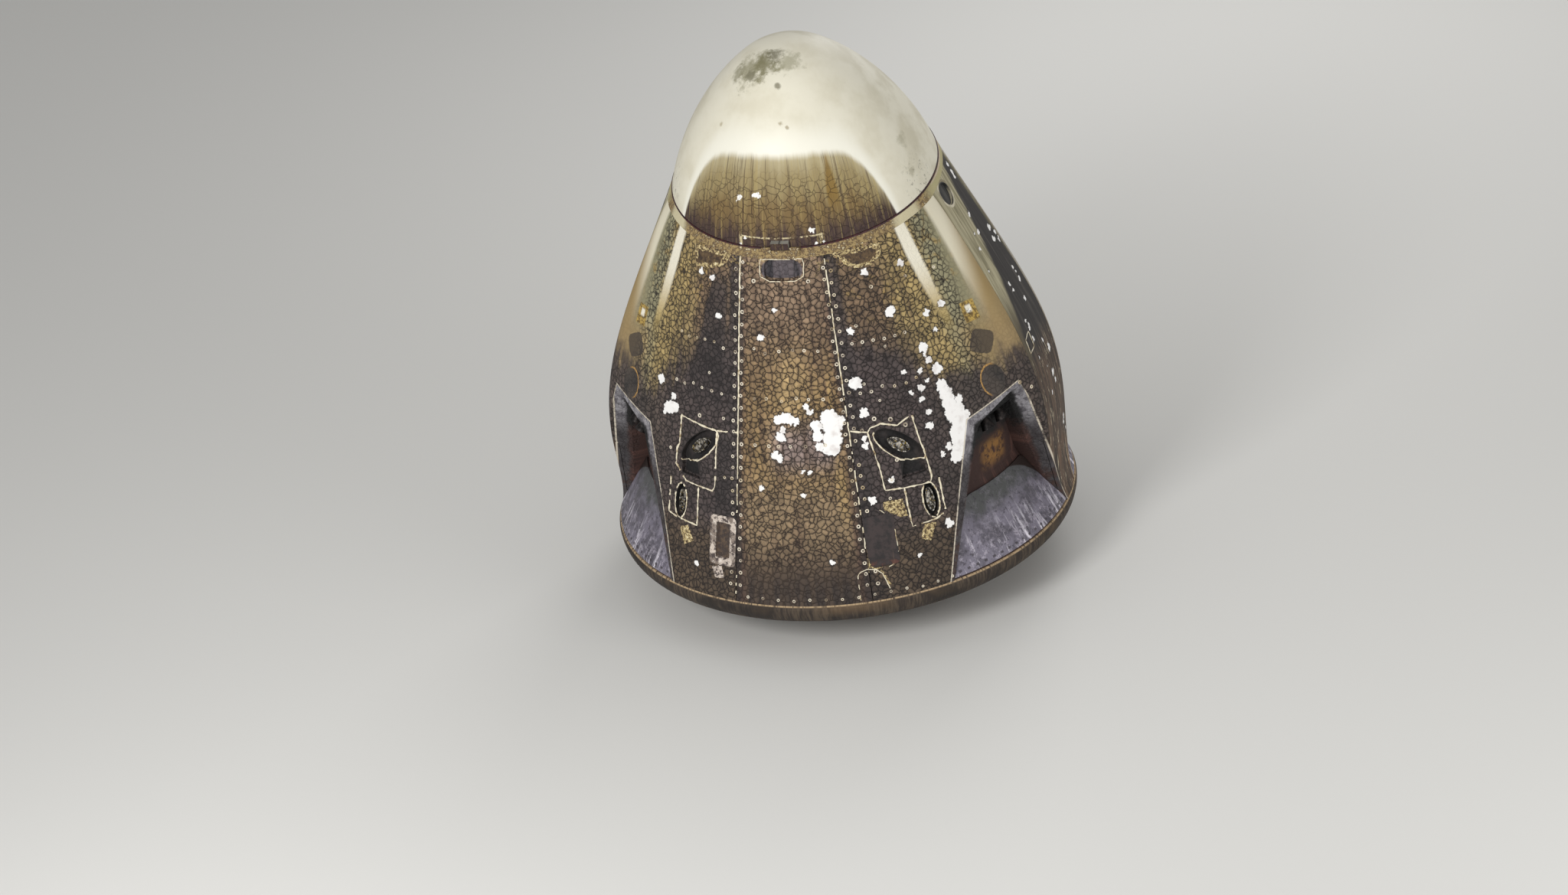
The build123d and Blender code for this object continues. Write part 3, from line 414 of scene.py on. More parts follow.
def recess(paint, colour):
    """Lip and throat laid over a colour, with the mottle that their relief follows."""
    across, above = across_recess(paint), paint.z - SHELL_FOOT
    from_corner, over_corner = across + 0.262, above - 1.245
    inside = (from_corner * 0.911 - over_corner * 0.413).least(
        from_corner * 0.225 - over_corner * 0.974).least(
        (above - 1.375) * -0.318 - (across - 0.3) * 0.948)
    mottle = paint.noise(14.0, 5.0, 0.65)
    streak = paint.grain(30.0, 3.0)
    lip = paint.mix("8f8c90", "59555a", mottle.ramp(0.4, 0.62)).over(
        "c2bdc0", streak.ramp(0.58, 0.7) * 0.5,
        # Painted shade: the lip darkens towards the top of the bay, under its roof.
        "241e1e", (above + mottle * 0.2).ramp(1.2, 0.9) * 0.85,
        "4a332a", above.ramp(0.5, 0.25) * mottle.ramp(0.4, 0.6) * 0.7)
    # The throat: maroon soot, painted darker to near black towards the top as shade under the bay's roof.
    throat_soot_and_shade = paint.mix("38231e", "0b0909", (above + mottle * 0.4 - 0.2).ramp(0.82, 1.02)).over(
        "583b33", streak.ramp(0.5, 0.68) * above.ramp(0.95, 0.7))
    ochre = across.within(-0.06, 0.24, 0.06) * above.within(0.66, 0.88, 0.06)
    throat_soot_and_shade = throat_soot_and_shade.over("8a6230", ochre * mottle.ramp(0.36, 0.56))
    deep = (inside + mottle * 0.04 - 0.02).ramp(0.05, 0.08)
    shown = paint.mix(colour, "d0c6b4", inside.within(-0.010, 0.0, 0.003) * streak.ramp(0.3, 0.5)).over(
        lip, inside.ramp(-0.001, 0.004))
    return shown.over(throat_soot_and_shade, deep), mottle


bay = Finish("sooted_bay", rough=0.8)
soot_shown, soot_mottle = recess(bay, "1b1918")
bay.bump(soot_mottle, 0.006)
coat(bay.finish(soot_shown, 0.9 - soot_mottle * 0.25), *(
    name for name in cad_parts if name.startswith("service_bay")))


# Exhaust ramps: thin heat-tinted sheet, rolled to a shallow arch and riveted along its foot.
# Lavender-grey, bleached in white streaks near the foot, and pitted all over. Round the upper
# outer corner it is painted dark brown: partly soot, partly painted shade under the bay's roof.
ramp = Finish("tinted_ramp", metal=0.25)
ramp_height = ramp.z - SHELL_FOOT
cloud = ramp.noise(5.0, 5.0, 0.65)
wash = ramp.grain(26.0, 2.2, 5.0, 0.7)
pit = ramp.cells("F1", 55.0).ramp(0.2, 0.12) * ramp.noise(16.0).ramp(0.5, 0.62)
foot = (ramp_height + cloud * 0.3).ramp(0.52, 0.2)
rivets = ramp.angle.beat(2.6).ramp(0.2, 0.14) * ramp_height.within(0.045, 0.062, 0.004)
# Painted shade, partly soot: the ramp's upper outer corner is darkened to the throat's brown.
beyond = (across_recess(ramp) + ramp_height * 0.6 - 0.48).most(0.0) / 0.28
higher = (ramp_height - 0.29).most(0.0) / 0.26
corner = (beyond * beyond + higher * higher).math("SQRT") + (cloud - 0.5) * 0.08
sheet = ramp.mix("7d7885", "5a565f", cloud.ramp(0.4, 0.62)).over(
    "50524f", (ramp_height + cloud * 0.25).ramp(0.42, 0.6) * 0.85,
    "e6e1ea", wash.ramp(0.53, 0.63) * foot,
    "b3acb8", ramp.noise(15.0, 5.0, 0.75).ramp(0.5, 0.62) * (foot * 0.6 + 0.15),
    "3d3941", ramp.noise(21.0, 5.0, 0.75).ramp(0.54, 0.64) * 0.75,
    "2e2a2e", pit * 0.9,
    "3b353a", rivets * 0.8,
    "2a1e1a", corner.ramp(0.97, 1.03))
ramp.bump(cloud * 0.6 + wash * 0.3 - pit * 0.5 + rivets * 0.4, 0.006)
coat(ramp.finish(sheet, 0.75 - wash * 0.3), *(
    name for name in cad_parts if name.startswith("exhaust_ramp")))


# Engines and thrusters: spun metal bells, sooted black inside. The thrusters' lips are
# burnt pale and straw yellow.
bell = Finish("sooted_bell", metal=0.75)
soot = bell.noise(24.0, 5.0, 0.65)
bell.bump(soot, 0.0015)
coat(bell.finish(bell.mix("3a3432", "171515", soot.ramp(0.35, 0.6)), soot * 0.4 + 0.35),
     *(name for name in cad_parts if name.startswith("escape_engines")))
jet = Finish("straw_nozzle", metal=0.5)
burn = jet.noise(36.0, 5.0, 0.7)
jet_skin = jet.mix("2a2624", "cfc9be", burn.ramp(0.45, 0.62)).over(
    "b79a3a", jet.noise(60.0, 2.0).ramp(0.6, 0.66) * 0.7)
jet.bump(burn, 0.002)
coat(jet.finish(jet_skin, burn * 0.35 + 0.25),
     *(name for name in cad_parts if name.startswith("thrusters_")))


# Windward panel: the middle strip of the shell that faces the flow. A sprayed ablative
# coat that was white; re-entry charred it brown and it shrank into small cracked cells.
# Bare white patches are left where flakes of the coat broke off in the sea.
shell = bmesh.new()
for name in ("windward_panel", "leeward_panel", "forward_collar", "nose_cap", "side_hatch",
             "windward_pod_left", "windward_pod_right", "leeward_pod_left", "leeward_pod_right",
             "side_panel_left", "side_panel_right", "heat_shield"):
    shell.from_mesh(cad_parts[name].data)
skins = BVHTree.FromBMesh(shell)
shell.free()


def skin(azimuth, z):
    """Point on the shell at an azimuth and height, and the way out of it."""
    found = []
    for near in (-0.25, 0.0, 0.25):
        turn = radians(azimuth + near)
        out = Vector((sin(turn), -cos(turn), 0.0))
        place, normal = skins.ray_cast(out * 6.0 + Vector((0.0, 0.0, z)), -out)[:2]
        if place is not None:
            found.append((hypot(place.x, place.y), normal.normalized()))
    radius, normal = max(found, key=lambda hit: hit[0])
    turn = radians(azimuth)
    return Vector((radius * sin(turn), -radius * cos(turn), z)), normal


def cone(z):
    """Radius of the shell's cone at a height."""
    return 1.985 - 0.27424 * (z - SHELL_FOOT)


def crackle(paint, face, deep, scale):
    """Charred coat split into cells: its colour and its relief."""
    bent = paint.shaken(24.0, 2.0, 0.55, 0.03)
    edge = paint.cells("DISTANCE_TO_EDGE", scale, place=bent)
    lot = paint.node("SeparateXYZ", {}, {"Vector": paint.cells("F1", scale, "Color", bent)}, "X")
    hair = paint.cells("DISTANCE_TO_EDGE", scale * 2.1, place=bent).ramp(0.0, 0.07)
    hair = 1.0 - (1.0 - hair) * paint.noise(5.0).ramp(0.44, 0.58) * 0.6
    crack = edge.ramp(0.01, 0.07)
    dome = edge.ramp(0.03, 0.28)
    colour = face.scaled((lot * 0.4 + 0.72) * (dome * 0.55 + 0.68) * hair)
    colour = paint.mix(deep, colour, crack * 0.92 + 0.08)
    return colour, crack * 0.7 + dome * 0.3


def flakes(paint, spots):
    """How far inside the nearest bare patch a point is, by (azimuth, height, radius)."""
    ragged = paint.shaken(26.0, 4.0, 0.7, 0.05)
    small = paint.cells("F1", 42.0, "Position", ragged)
    spot_place = paint.vector("ADD", ragged.scaled(0.3), small.scaled(0.7))
    field = None
    for azimuth, z, radius in spots:
        far = paint.away(spot_place, azimuth, z) * (1 / radius)
        field = far if field is None else field.least(far)
    return 1.0 - field


def bare_coat(paint, colour, chip):
    """White bare patches with a dark broken rim, laid over a charred colour."""
    colour = colour.over("1d1816", chip.ramp(-0.35, -0.08) * 0.55)
    bare = chip.ramp(0.0, 0.05)
    white = paint.mix("f3f1ee", "d9d3cf", paint.noise(12.0, 4.0).ramp(0.5, 0.75))
    return paint.mix(colour, white, bare), bare


windward = Finish("charred_centre_coat", rough=0.8)
grain = windward.grain(26.0, 1.3)
broad = windward.noise(3.2, 3.0)
face = windward.mix("8f7650", "86705a", windward.z.ramp(2.3, 3.1)).over(
    "897458", windward.z.ramp(1.75, 1.4),
    "8d8087", windward.patch((-6.0, 14.0), 4.0, (1.72, 2.1), 0.12) * 0.6,
    "b69b6c", windward.patch((-3.0, 4.0), 3.5, (2.1, 2.65), 0.2) * 0.7,
    "a98d5a", windward.patch((12.0, 15.5), 1.0, (1.3, 2.4), 0.2) * 0.5,
    "5b4737", grain.ramp(0.44, 0.7) * 0.8,
    # Darker towards the foot: partly char, partly painted shade under the shell's curve.
    "46382f", windward.z.ramp(1.3, 0.75) * 0.9,
    "554036", windward.aside.ramp(13.6, 15.6) * 0.6)
char, relief = crackle(windward, face, "261b16", 21.0)
bands = windward.z.within(2.83, 2.86, 0.02).most(windward.z.within(2.915, 2.935, 0.02))
soot = (windward.aside + broad * 3.0 - 1.5).ramp(15.3, 16.4) * 0.8
soot = soot.most(bands * broad.ramp(0.35, 0.6) * 0.6)
soot = soot.most(windward.z.ramp(0.93, 0.66) * grain.ramp(0.35, 0.65) * 0.8)
top_dust = windward.noise(34.0, 4.0, 0.7).ramp(0.5, 0.66) * windward.z.ramp(3.2, 3.42)
pocket = (windward.aside / 8.4).math("POWER", 4.0) + ((windward.z - 3.355) / 0.083).math("POWER", 2.0)
char = char.over(
    # Darker again below 1 m: partly char, partly painted shade.
    face.scaled(0.8), windward.z.ramp(0.98, 0.8) * 0.55,
    "2a2321", soot,
    "b79f72", top_dust * 0.7,
    windward.mix("5d5558", "2f2c30", grain.ramp(0.4, 0.6)), pocket.ramp(1.05, 0.85))
chips = flakes(windward, [
    (-3.9, 2.13, 0.04), (-2.2, 2.15, 0.045), (-0.2, 2.135, 0.045), (1.6, 2.12, 0.035),
    (-2.6, 2.05, 0.03), (-3.6, 1.99, 0.04), (-2.3, 1.97, 0.025), (5.0, 2.235, 0.034),
    (6.2, 2.19, 0.03), (7.6, 2.07, 0.05), (7.9, 1.985, 0.05), (8.2, 1.9, 0.035),
    (11.6, 2.13, 0.075), (12.6, 2.06, 0.085), (14.6, 2.09, 0.055), (12.4, 1.96, 0.085),
    (11.2, 1.875, 0.065), (13.0, 1.87, 0.04), (-5.3, 1.835, 0.04), (-4.0, 1.815, 0.036),
    (-9.1, 2.802, 0.03), (-3.6, 3.03, 0.022), (4.5, 1.69, 0.024), (2.7, 1.7, 0.02),
    (-9.7, 1.554, 0.026), (8.4, 0.938, 0.026), (2.0, 1.51, 0.02)])
char, bare = bare_coat(windward, char, chips)
windward.bump(relief * (1.0 - bare) + bare * 0.2, 0.007)
coat(windward.finish(char, 0.86 - relief * 0.12), "windward_panel")


# Windward pods: the two swollen quarters beside the centre panel, one moulding each with the
# same sprayed coat. Pale in streaks near the nose, the streak along each crease partly a painted
# highlight; golden and olive down the flanks, and charcoal below, with recesses for engines and
# thrusters.
WHITE_FLAKES = [
    (-26.1, 2.93, .03), (38.1, 2.883, .046), (22.8, 2.798, .036), (46.2, 2.52, .039),
    (21.5, 2.381, .059), (22.6, 2.129, .042), (43, 2.344, .026), (48.7, 2.32, .046),
    (41.8, 2.21, .033), (48.3, 2.189, .039), (52.1, 2.62, .024), (46.8, 3.228, .028),
    (-44.6, 2.041, .059), (-43.9, 2.139, .036), (-50.5, 2.236, .046), (50.9, 2.781, .03),
    (56.9, 2.801, .035), (-29.8, .819, .02), (42.3, 1.998, .028), (41.7, 1.886, .034),
    (41.4, 2.12, .028), (43.5, 1.626, .028), (45.7, 1.668, .033), (21.6, 1.857, .028),
    (21.5, 1.915, .028), (21.1, 1.404, .035), (27.2, 1.541, .026), (40.4, 1.053, .039),
    (30.9, .874, .02), (46.9, 2.403, .028), (38.6, 2.196, .024), (37.7, 2.365, .024),
    (48.6, 2.17, .055), (49.2, 2.1, .06), (49.3, 2.02, .066), (50.3, 1.92, .095),
    (51.3, 1.84, .09), (50.3, 1.76, .10), (49.7, 1.68, .085), (48.6, 1.62, .07),
    (47, 1.57, .055), (-45.8, 2.02, .05), (-42.6, 2.05, .045), (-36.4, 3.255, .03),
    (-30.2, 3.225, .03), (31.8, 3.247, .035), (64.9, 2.66, .02), (-47.0, 1.985, .03),
    (45.9, 2.46, .02), (44.4, 2.25, .02), (52.6, 2.02, .035), (53.5, 1.88, .03)]


LEAN = radians(15.34)
UPPER_POCKET = (31.5, 1.805, 0.24, 0.095, 40.0)
LOWER_POCKET = (37.0, 1.295, 0.145, 0.062, 90.0)


def pocket_masks(paint):
    """Inside of the oval thruster pockets and of the upper one's side lobe."""
    side, front = paint.x.abs(), paint.y.abs()
    masks, lobe = [], None
    for azimuth, z, long_half, short_half, tilt in (UPPER_POCKET, LOWER_POCKET):
        across = side * cos(radians(azimuth)) - front * sin(radians(azimuth))
        above = (paint.z - z) * (1 / cos(LEAN))
        level, steep = cos(radians(tilt)), sin(radians(tilt))
        along = (across * level - above * steep) * (1 / long_half)
        beside = (across * steep + above * level) * (1 / short_half)
        masks.append((along * along + beside * beside).math("SQRT"))
        if not lobe:
            lobe = across.within(-0.03, 0.18, 0.01) * above.within(-0.285, -0.13, 0.01)
    return masks, lobe * front.ramp(0.5, 0.6)


def flank_coat(paint):
    """Colours of the swollen quarters from nose to foot."""
    aside, z = paint.aside, paint.z
    grain = paint.grain(24.0, 1.2)
    broad = paint.noise(2.8, 4.0, 0.6)
    face = paint.mix("75604a", "a08b5c", (aside + broad * 14.0 - 7.0).ramp(33.0, 45.0)).over(
        "908a6c", (aside + broad * 6.0 - 3.0).ramp(53.0, 60.0),
        "a29376", aside.ramp(66.0, 72.0),
        "9a8258", aside.ramp(56.0, 62.0) * z.ramp(2.75, 2.45) * 0.8,
        "a3884f", paint.noise(9.0, 3.0).ramp(0.55, 0.7) * z.ramp(2.7, 3.1) * 0.7,
        "544332", grain.ramp(0.45, 0.66) * aside.ramp(56.0, 42.0) * 0.85,
        "54463a", (z + broad * 0.4).ramp(3.2, 2.65) * aside.ramp(50.0, 42.0) * 0.7)
    line = (aside * -0.0171 + 3.16).most(2.22) + (broad - 0.5) * 0.6 + (grain - 0.5) * 0.5
    low = (z - line).ramp(0.16, -0.16)
    strip = (aside + broad * 5.0 - 2.5).ramp(23.2, 20.4)
    left_dark = paint.angle.ramp(-21.0, -24.0) * (
        paint.angle + z * -8.5 + 56.0 + broad * 4.0).ramp(-0.5, 1.5) * z.within(2.2, 3.25, 0.12)
    left_panel = paint.patch((-24.6, -17.0), 0.3, (1.28, 1.97), 0.01)
    strip = strip.most(left_dark).most(left_panel)
    face = face.over(
        "4b4140", low * 0.93,
        # Darker towards the foot: partly char, partly painted shade under the shell's curve.
        "564736", (z + broad * 0.3).ramp(1.42, 1.12) * 0.85,
        "463d3b", strip * z.ramp(0.9, 1.2) * 0.85)
    return face, low, strip, grain, broad


def pale_stripes(paint, colour, grain):
    """Pale streaks, white above and straw below: the first bleached where the flow left the coat cooler,
    the second, along the crease, partly bleached and partly a painted highlight.
    """
    aside, z = paint.aside, paint.z
    first = aside - ((3.5 - z) * 6.9 + 51.2)
    core = first.abs() + z.ramp(3.3, 2.6) * 1.2 + (grain - 0.5) * 1.5
    core = core.ramp(3.4, 2.0) * z.ramp(2.5, 2.85)
    pale = paint.mix("b79f63", "ece6d3", z.ramp(2.65, 3.25))
    colour = colour.over(pale, core * 0.95)
    # The wide streak along the crease: partly bleached coat, partly a painted highlight of the rounded
    # crease.
    second = aside - ((3.55 - z) * 4.2 + 70.2)
    wide = (second.abs() + (grain - 0.5) * 2.5).ramp(5.4, 2.8) * z.ramp(2.3, 2.75)
    pale = paint.mix("9c8456", "e2dbc4", (z + second * -0.06).ramp(2.7, 3.4))
    return paint.mix(colour, pale, wide * 0.9), core.most(wide)


pod = Finish("charred_pod_coat", rough=0.8)
face, low, strip, grain, broad = flank_coat(pod)
char, relief = crackle(pod, face, "1e1715", 22.0)
plain = pod.aside.ramp(61.0, 67.0) * pod.z.ramp(2.0, 2.3) * 0.85
char = char.over(face, plain)
char, bleached_and_highlit = pale_stripes(pod, char, grain)
rough_edge = (pod.noise(40.0, 3.0) - 0.5) * 0.5
# A dark square that stands on its corner, a round port with a painted highlight along its upper left
# edge, and a gold tag.
across, above = (pod.aside - 65.2) * 0.0265, pod.z - 2.393
square = [((across * turn + above * rise) / 0.098).math("POWER", 4.0)
          for turn, rise in ((0.863, -0.505), (0.505, 0.863))]
across, above = (pod.aside - 64.3) * 0.264, (pod.z - 2.06) / 0.142
disc =(across * across + above * above).math("SQRT") + rough_edge * 0.3
# Painted highlight: the disc's upper left edge is painted pale ochre.
disc_highlight = disc.within(0.9, 1.0, 0.03) * (across * -1.0 + above * 0.5).ramp(-0.2, 0.5)
gold = pod.aside.within(62.8, 67.8, 0.25) * pod.z.within(2.575, 2.745, 0.008)
gold_face = pod.mix("bb9c50", "66512a", pod.noise(34.0, 4.0, 0.7).ramp(0.44, 0.58))
pale_centre = pod.aside.within(64.2, 66.2, 0.3) * pod.z.within(2.65, 2.71, 0.012)
top_dust = pod.noise(34.0, 4.0, 0.7).ramp(0.5, 0.64) * pod.z.ramp(3.28, 3.45) * pod.aside.ramp(44.0, 38.0)
(upper_pocket, lower_pocket), lobe = pocket_masks(pod)
hollow = upper_pocket.ramp(1.06, 0.99).most(lower_pocket.ramp(1.08, 0.99)).most(lobe)
char = char.over(
    "211c1c", (low * 0.25 + strip * 0.4) * broad.ramp(0.38, 0.6),
    "3f3732", (square[0] + square[1] + rough_edge).ramp(1.15, 0.8) * 0.85,
    pod.mix("2d2a29", "4a423c", broad.ramp(0.4, 0.6)), disc.ramp(1.02, 0.94) * 0.9,
    "b58c50", disc_highlight,
    gold_face, gold * 0.95,
    "f0ead8", pale_centre,
    "b79c62", top_dust * 0.75,
    pod.mix("0d0b0b", "3a3230", broad.ramp(0.5, 0.7)), hollow * 0.95)
chips = flakes(pod, WHITE_FLAKES)
char, bare = bare_coat(pod, char, chips)
char, _ = recess(pod, char)
relief = relief * (1.0 - plain) * (1.0 - bleached_and_highlit * 0.8)
pod.bump(relief * (1.0 - bare) * (1.0 - hollow) + bare * 0.2, 0.007)
coat(pod.finish(char, 0.86 - relief * 0.12), "windward_pod_left", "windward_pod_right")


# Side panels: flat closing panels between the quarters, with a round pressure port each. A
# pale olive strip runs down their windward edge; behind it they are sooted black and flaked.
side = Finish("sooted_side_coat", rough=0.75)
grain = side.grain(34.0, 1.6, 5.0, 0.65)
broad = side.noise(4.0, 4.0, 0.6)
dark_line = (side.z * 10.6 + 56.5).most(80.0)
olive = side.mix("b3ab8d", "80795c", grain.ramp(0.4, 0.65)).over("5b5240", side.z.ramp(2.75, 2.25))
back = (side.aside - dark_line + (grain - 0.5) * 5.0).ramp(-1.2, 1.4)
black = side.mix("2c2826", "4b4540", grain.ramp(0.5, 0.72))
far = (side.aside + (grain - 0.5) * 6.0).ramp(101.0, 106.0)
black = black.over(side.mix("77704f", "a39a78", broad.ramp(0.4, 0.7)), far * side.z.ramp(1.9, 2.5))
char = side.mix(olive, black, back)
low = side.z.ramp(2.15, 1.85)
brown = side.mix("33281f", "5e4a3a", grain.ramp(0.42, 0.6)).over(
    "cfc0a4", side.grain(70.0, 5.0, 5.0, 0.75).ramp(0.58, 0.64),
    "8f5f35", side.noise(1.6).ramp(0.5, 0.7) * side.z.ramp(1.2, 0.8) * 0.8)
char = char.over(brown, low)
SIDE_FLAKES = [
    (100, 2.974, .03), (102.1, 2.898, .03), (98, 2.893, .03), (101.5, 2.842, .024),
    (98.4, 2.606, .018), (98.9, 2.553, .02), (98.4, 2.501, .026), (89.2, 2.581, .02),
    (89.1, 2.521, .022), (94, 2.365, .03), (86.6, 2.276, .02), (80.3, 2.819, .018),
    (91.3, 3.219, .026), (85.9, 3.098, .02), (89.5, 3.074, .018), (83, 2.992, .016),
    (100.6, 3.591, .024), (99.9, 3.529, .026), (99.7, 3.485, .024), (86.2, 2.27, .024),
    (87, 2.208, .03), (86.1, 2.104, .026), (92.6, 1.992, .022), (95.8, 1.864, .035),
    (92.4, 1.675, .036), (93.1, 1.591, .024), (89, 1.794, .016), (87.4, 1.568, .022),
    (85.1, 1.948, .016), (96.1, 1.175, .03), (95.2, 1.135, .025), (97.9, 1.025, .02)]
chips = flakes(side, SIDE_FLAKES)
char, bare = bare_coat(side, char, chips)
port = ((side.y + 0.14) * (side.y + 0.14) + (side.z - 3.5) * (side.z - 3.5) * 1.06).math("SQRT")
char = char.over(
    side.mix("cfc7ae", "8a8067", broad.ramp(0.4, 0.6)), port.ramp(0.126, 0.118),
    side.mix("262625", "454340", grain.ramp(0.4, 0.6)), port.ramp(0.102, 0.098))
char, _ = recess(side, char)
side.bump(grain * 0.5 + broad * 0.3 + bare * 0.2, 0.006)
coat(side.finish(char, 0.8 - grain * 0.2), "side_panel_left", "side_panel_right")


# Leeward panels: the cooler side away from the flow, the same white coat only scorched to
# cream and streaked brown. The side hatch is a stepped plug with the same coat outside.
def scorched(name):
    """Finish of the cooler side, with its colour and the streaks in it."""
    paint = Finish(name, rough=0.7)
    run = paint.grain(46.0, 0.7)
    cloud = paint.noise(1.7, 4.0, 0.6)
    colour = paint.mix("d6d1c4", "c0b69f", cloud.ramp(0.42, 0.66)).over(
        "95846a", run.ramp(0.5, 0.7) * cloud.ramp(0.36, 0.6) * 0.55,
        "6b5b49", (paint.z + (run - 0.5) * 1.6).ramp(1.35, 0.7) * 0.8,
        "5e4a35", (paint.aside + run * 24.0 - 12.0).ramp(120.0, 96.0) * 0.85)
    speck = paint.noise(60.0, 3.0, 0.7).ramp(0.66, 0.7)
    colour = colour.over("4a4037", speck * 0.7)
    paint.bump(1.0 - speck + run * 0.3, 0.002)
    return paint, colour, run


lee, scorch, run = scorched("scorched_leeward_coat")
coat(lee.finish(scorch, 0.75 - run * 0.2), "leeward_panel")
door, scorch, run = scorched("scorched_hatch_coat")
inner = (cone(door.z) - door.radius).ramp(0.05, 0.06)
coat(door.finish(door.mix(scorch, "c9cac6", inner), 0.75 - run * 0.2), "side_hatch")
quarter, scorch, run = scorched("scorched_leeward_pod")
(upper_pocket, lower_pocket), lobe = pocket_masks(quarter)
plume = upper_pocket.ramp(2.4, 1.0).most(lower_pocket.ramp(3.0, 1.0)) * run.ramp(0.3, 0.6)
scorch = scorch.over("5b4a3a", plume * 0.75)
scorch, _ = recess(quarter, scorch)
hollow = upper_pocket.ramp(1.06, 0.99).most(lower_pocket.ramp(1.08, 0.99)).most(lobe * 0.85)
coat(quarter.finish(quarter.mix(scorch, "1a1716", hollow), 0.75 - run * 0.2),
     "leeward_pod_left", "leeward_pod_right")


# Windows: two rounded panes in the leeward quarters, hazed by the heat, each held in a
# raised metal frame by a row of screws. Smaller ones run down both leeward seams.
glass = Finish("hazed_glass")
haze = glass.noise(9.0, 4.0, 0.65)
glass.shader.inputs["Transmission Weight"].default_value = 0.8
glass.shader.inputs["IOR"].default_value = 1.45
coat(glass.finish(glass.mix("5b6468", "39403f", haze.ramp(0.4, 0.7)), haze * 0.25 + 0.02),
     "window_left", "window_right")
frame_metal = Finish("scorched_frame", metal=0.5, rough=0.5)
tarnish = frame_metal.noise(14.0, 5.0, 0.7)
frame_metal.bump(tarnish, 0.001)
frame_metal.finish(frame_metal.mix("8b857b", "4b443c", tarnish.ramp(0.42, 0.64)), tarnish * 0.4 + 0.3)
WINDOW_AZIMUTH, WINDOW_Z, WINDOW_RADIUS = 147.0, 2.508, 1.456
WINDOW_CORNERS = ((0.08, 0.10), (-0.08, 0.10), (-0.08, -0.10), (0.08, -0.10))
CORNER_STEPS = 6
SCREW_FOOT, SCREW_TOP, SCREW_STEP = 0.72, 3.42, 0.098


def window_edge(hand, offset, every=1):
    """Azimuths and heights round a window, an offset outside its corners' middles."""
    for corner, (across, up) in enumerate(WINDOW_CORNERS):
        for step in range(0, CORNER_STEPS + 1, every):
            turn = pi / 2 * (corner + step / CORNER_STEPS)
            azimuth = WINDOW_AZIMUTH + degrees((across + offset * cos(turn)) / WINDOW_RADIUS)
            yield hand * azimuth, WINDOW_Z + (up + offset * sin(turn)) * cos(LEAN)


def seated(azimuth, z):
    """Move that sets a small upright piece on the skin, pointing out of it."""
    where, out = skin(azimuth, z)
    return Matrix.Translation(where) @ out.to_track_quat("Z", "Y").to_matrix().to_4x4()


def screw(shape, azimuth, z, radius=0.007):
    """Adds a low domed screw head on the skin."""
    bmesh.ops.create_cone(shape, segments=8, radius1=radius, radius2=radius * 0.7, depth=0.005,
                          cap_ends=True, matrix=seated(azimuth, z))


screws = bmesh.new()
for hand in (-1, 1):
    window_frame = bmesh.new()
    loops = []
    for offset, lift in ((0.074, -0.003), (0.076, 0.006), (0.108, 0.006), (0.112, -0.003)):
        hits = [skin(azimuth, z) for azimuth, z in window_edge(hand, offset)]
        loops.append([window_frame.verts.new(where + out * lift) for where, out in hits])
    for azimuth, z in window_edge(hand, 0.092, 3):
        screw(screws, azimuth, z, 0.009)
    for inner_loop, outer_loop in zip(loops, loops[1:]):
        for i, corner in enumerate(inner_loop):
            window_frame.faces.new((inner_loop[i - 1], corner, outer_loop[i], outer_loop[i - 1]))
    piece(f"window_frame_{'left' if hand < 0 else 'right'}", window_frame, "capsule",
                  frame_metal.material)
    for azimuth in (157.2, 159.8):
        for i in range(28):
            screw(screws, hand * azimuth, SCREW_FOOT + SCREW_STEP * i)
piece("leeward_screws", screws, "capsule", frame_metal.material)


# Umbilical plates: a ring of worn pinkish enamel blocks round the open port on the left, and
# a flush scorched cover over the same place on the right.
PORT_AZIMUTH = radians(21.7)
plate = Finish("worn_enamel", rough=0.6)
blocks = plate.cells("F1", 14.0, "Color")
block = plate.node("SeparateXYZ", {}, {"Vector": blocks}, "X")
wear = plate.noise(26.0, 5.0, 0.7)
enamel = plate.mix("cdbfb2", "85776c", block.ramp(0.35, 0.75)).over(
    "4a3f3c", wear.ramp(0.5, 0.58),
    "eee6dc", wear.ramp(0.42, 0.34) * 0.8)
beside = plate.x.abs() * cos(PORT_AZIMUTH) - plate.y.abs() * sin(PORT_AZIMUTH)
hole = beside.within(-0.069, 0.069, 0.003) * plate.z.within(0.917, 1.213, 0.003)
enamel = enamel.over(plate.mix("3a2e28", "5a4838", wear.ramp(0.45, 0.6)), hole)
plate.bump(wear + block * 0.5, 0.008)
coat(plate.finish(enamel, wear * 0.4 + 0.35), "umbilical_port_left")
lid = Finish("scorched_cover", rough=0.75)
stain = lid.noise(12.0, 5.0, 0.65)
cover_face = lid.mix("3b3130", "241f1f", stain.ramp(0.4, 0.6)).over(
    "8f7458", lid.grain(40.0, 2.0).ramp(0.58, 0.68) * lid.z.ramp(1.05, 0.87),
    "6b3f33", lid.z.ramp(0.92, 0.87) * stain.ramp(0.5, 0.6) * 0.6)
lid.bump(stain, 0.004)
coat(lid.finish(cover_face, 0.8 - stain * 0.25), "umbilical_cover_right")


# Forward collar: the ring that carries the nose cap's seal and hinge. Its coat is crusted
# tan at the front, and bleached or olive round the sides.
NOSE_TILT = radians(9.0)
NOSE_MIDDLE = (0.0, -0.04, 3.705)
SEAM_FRAME = Matrix.Translation(NOSE_MIDDLE) @ Matrix.Rotation(NOSE_TILT, 4, "X")
HINGE_GAP = 8.6


def seam_height(paint):
    """Height above the canted nose seam."""
    return (paint.z - NOSE_MIDDLE[2]) * cos(NOSE_TILT) - (paint.y - NOSE_MIDDLE[1]) * sin(NOSE_TILT)


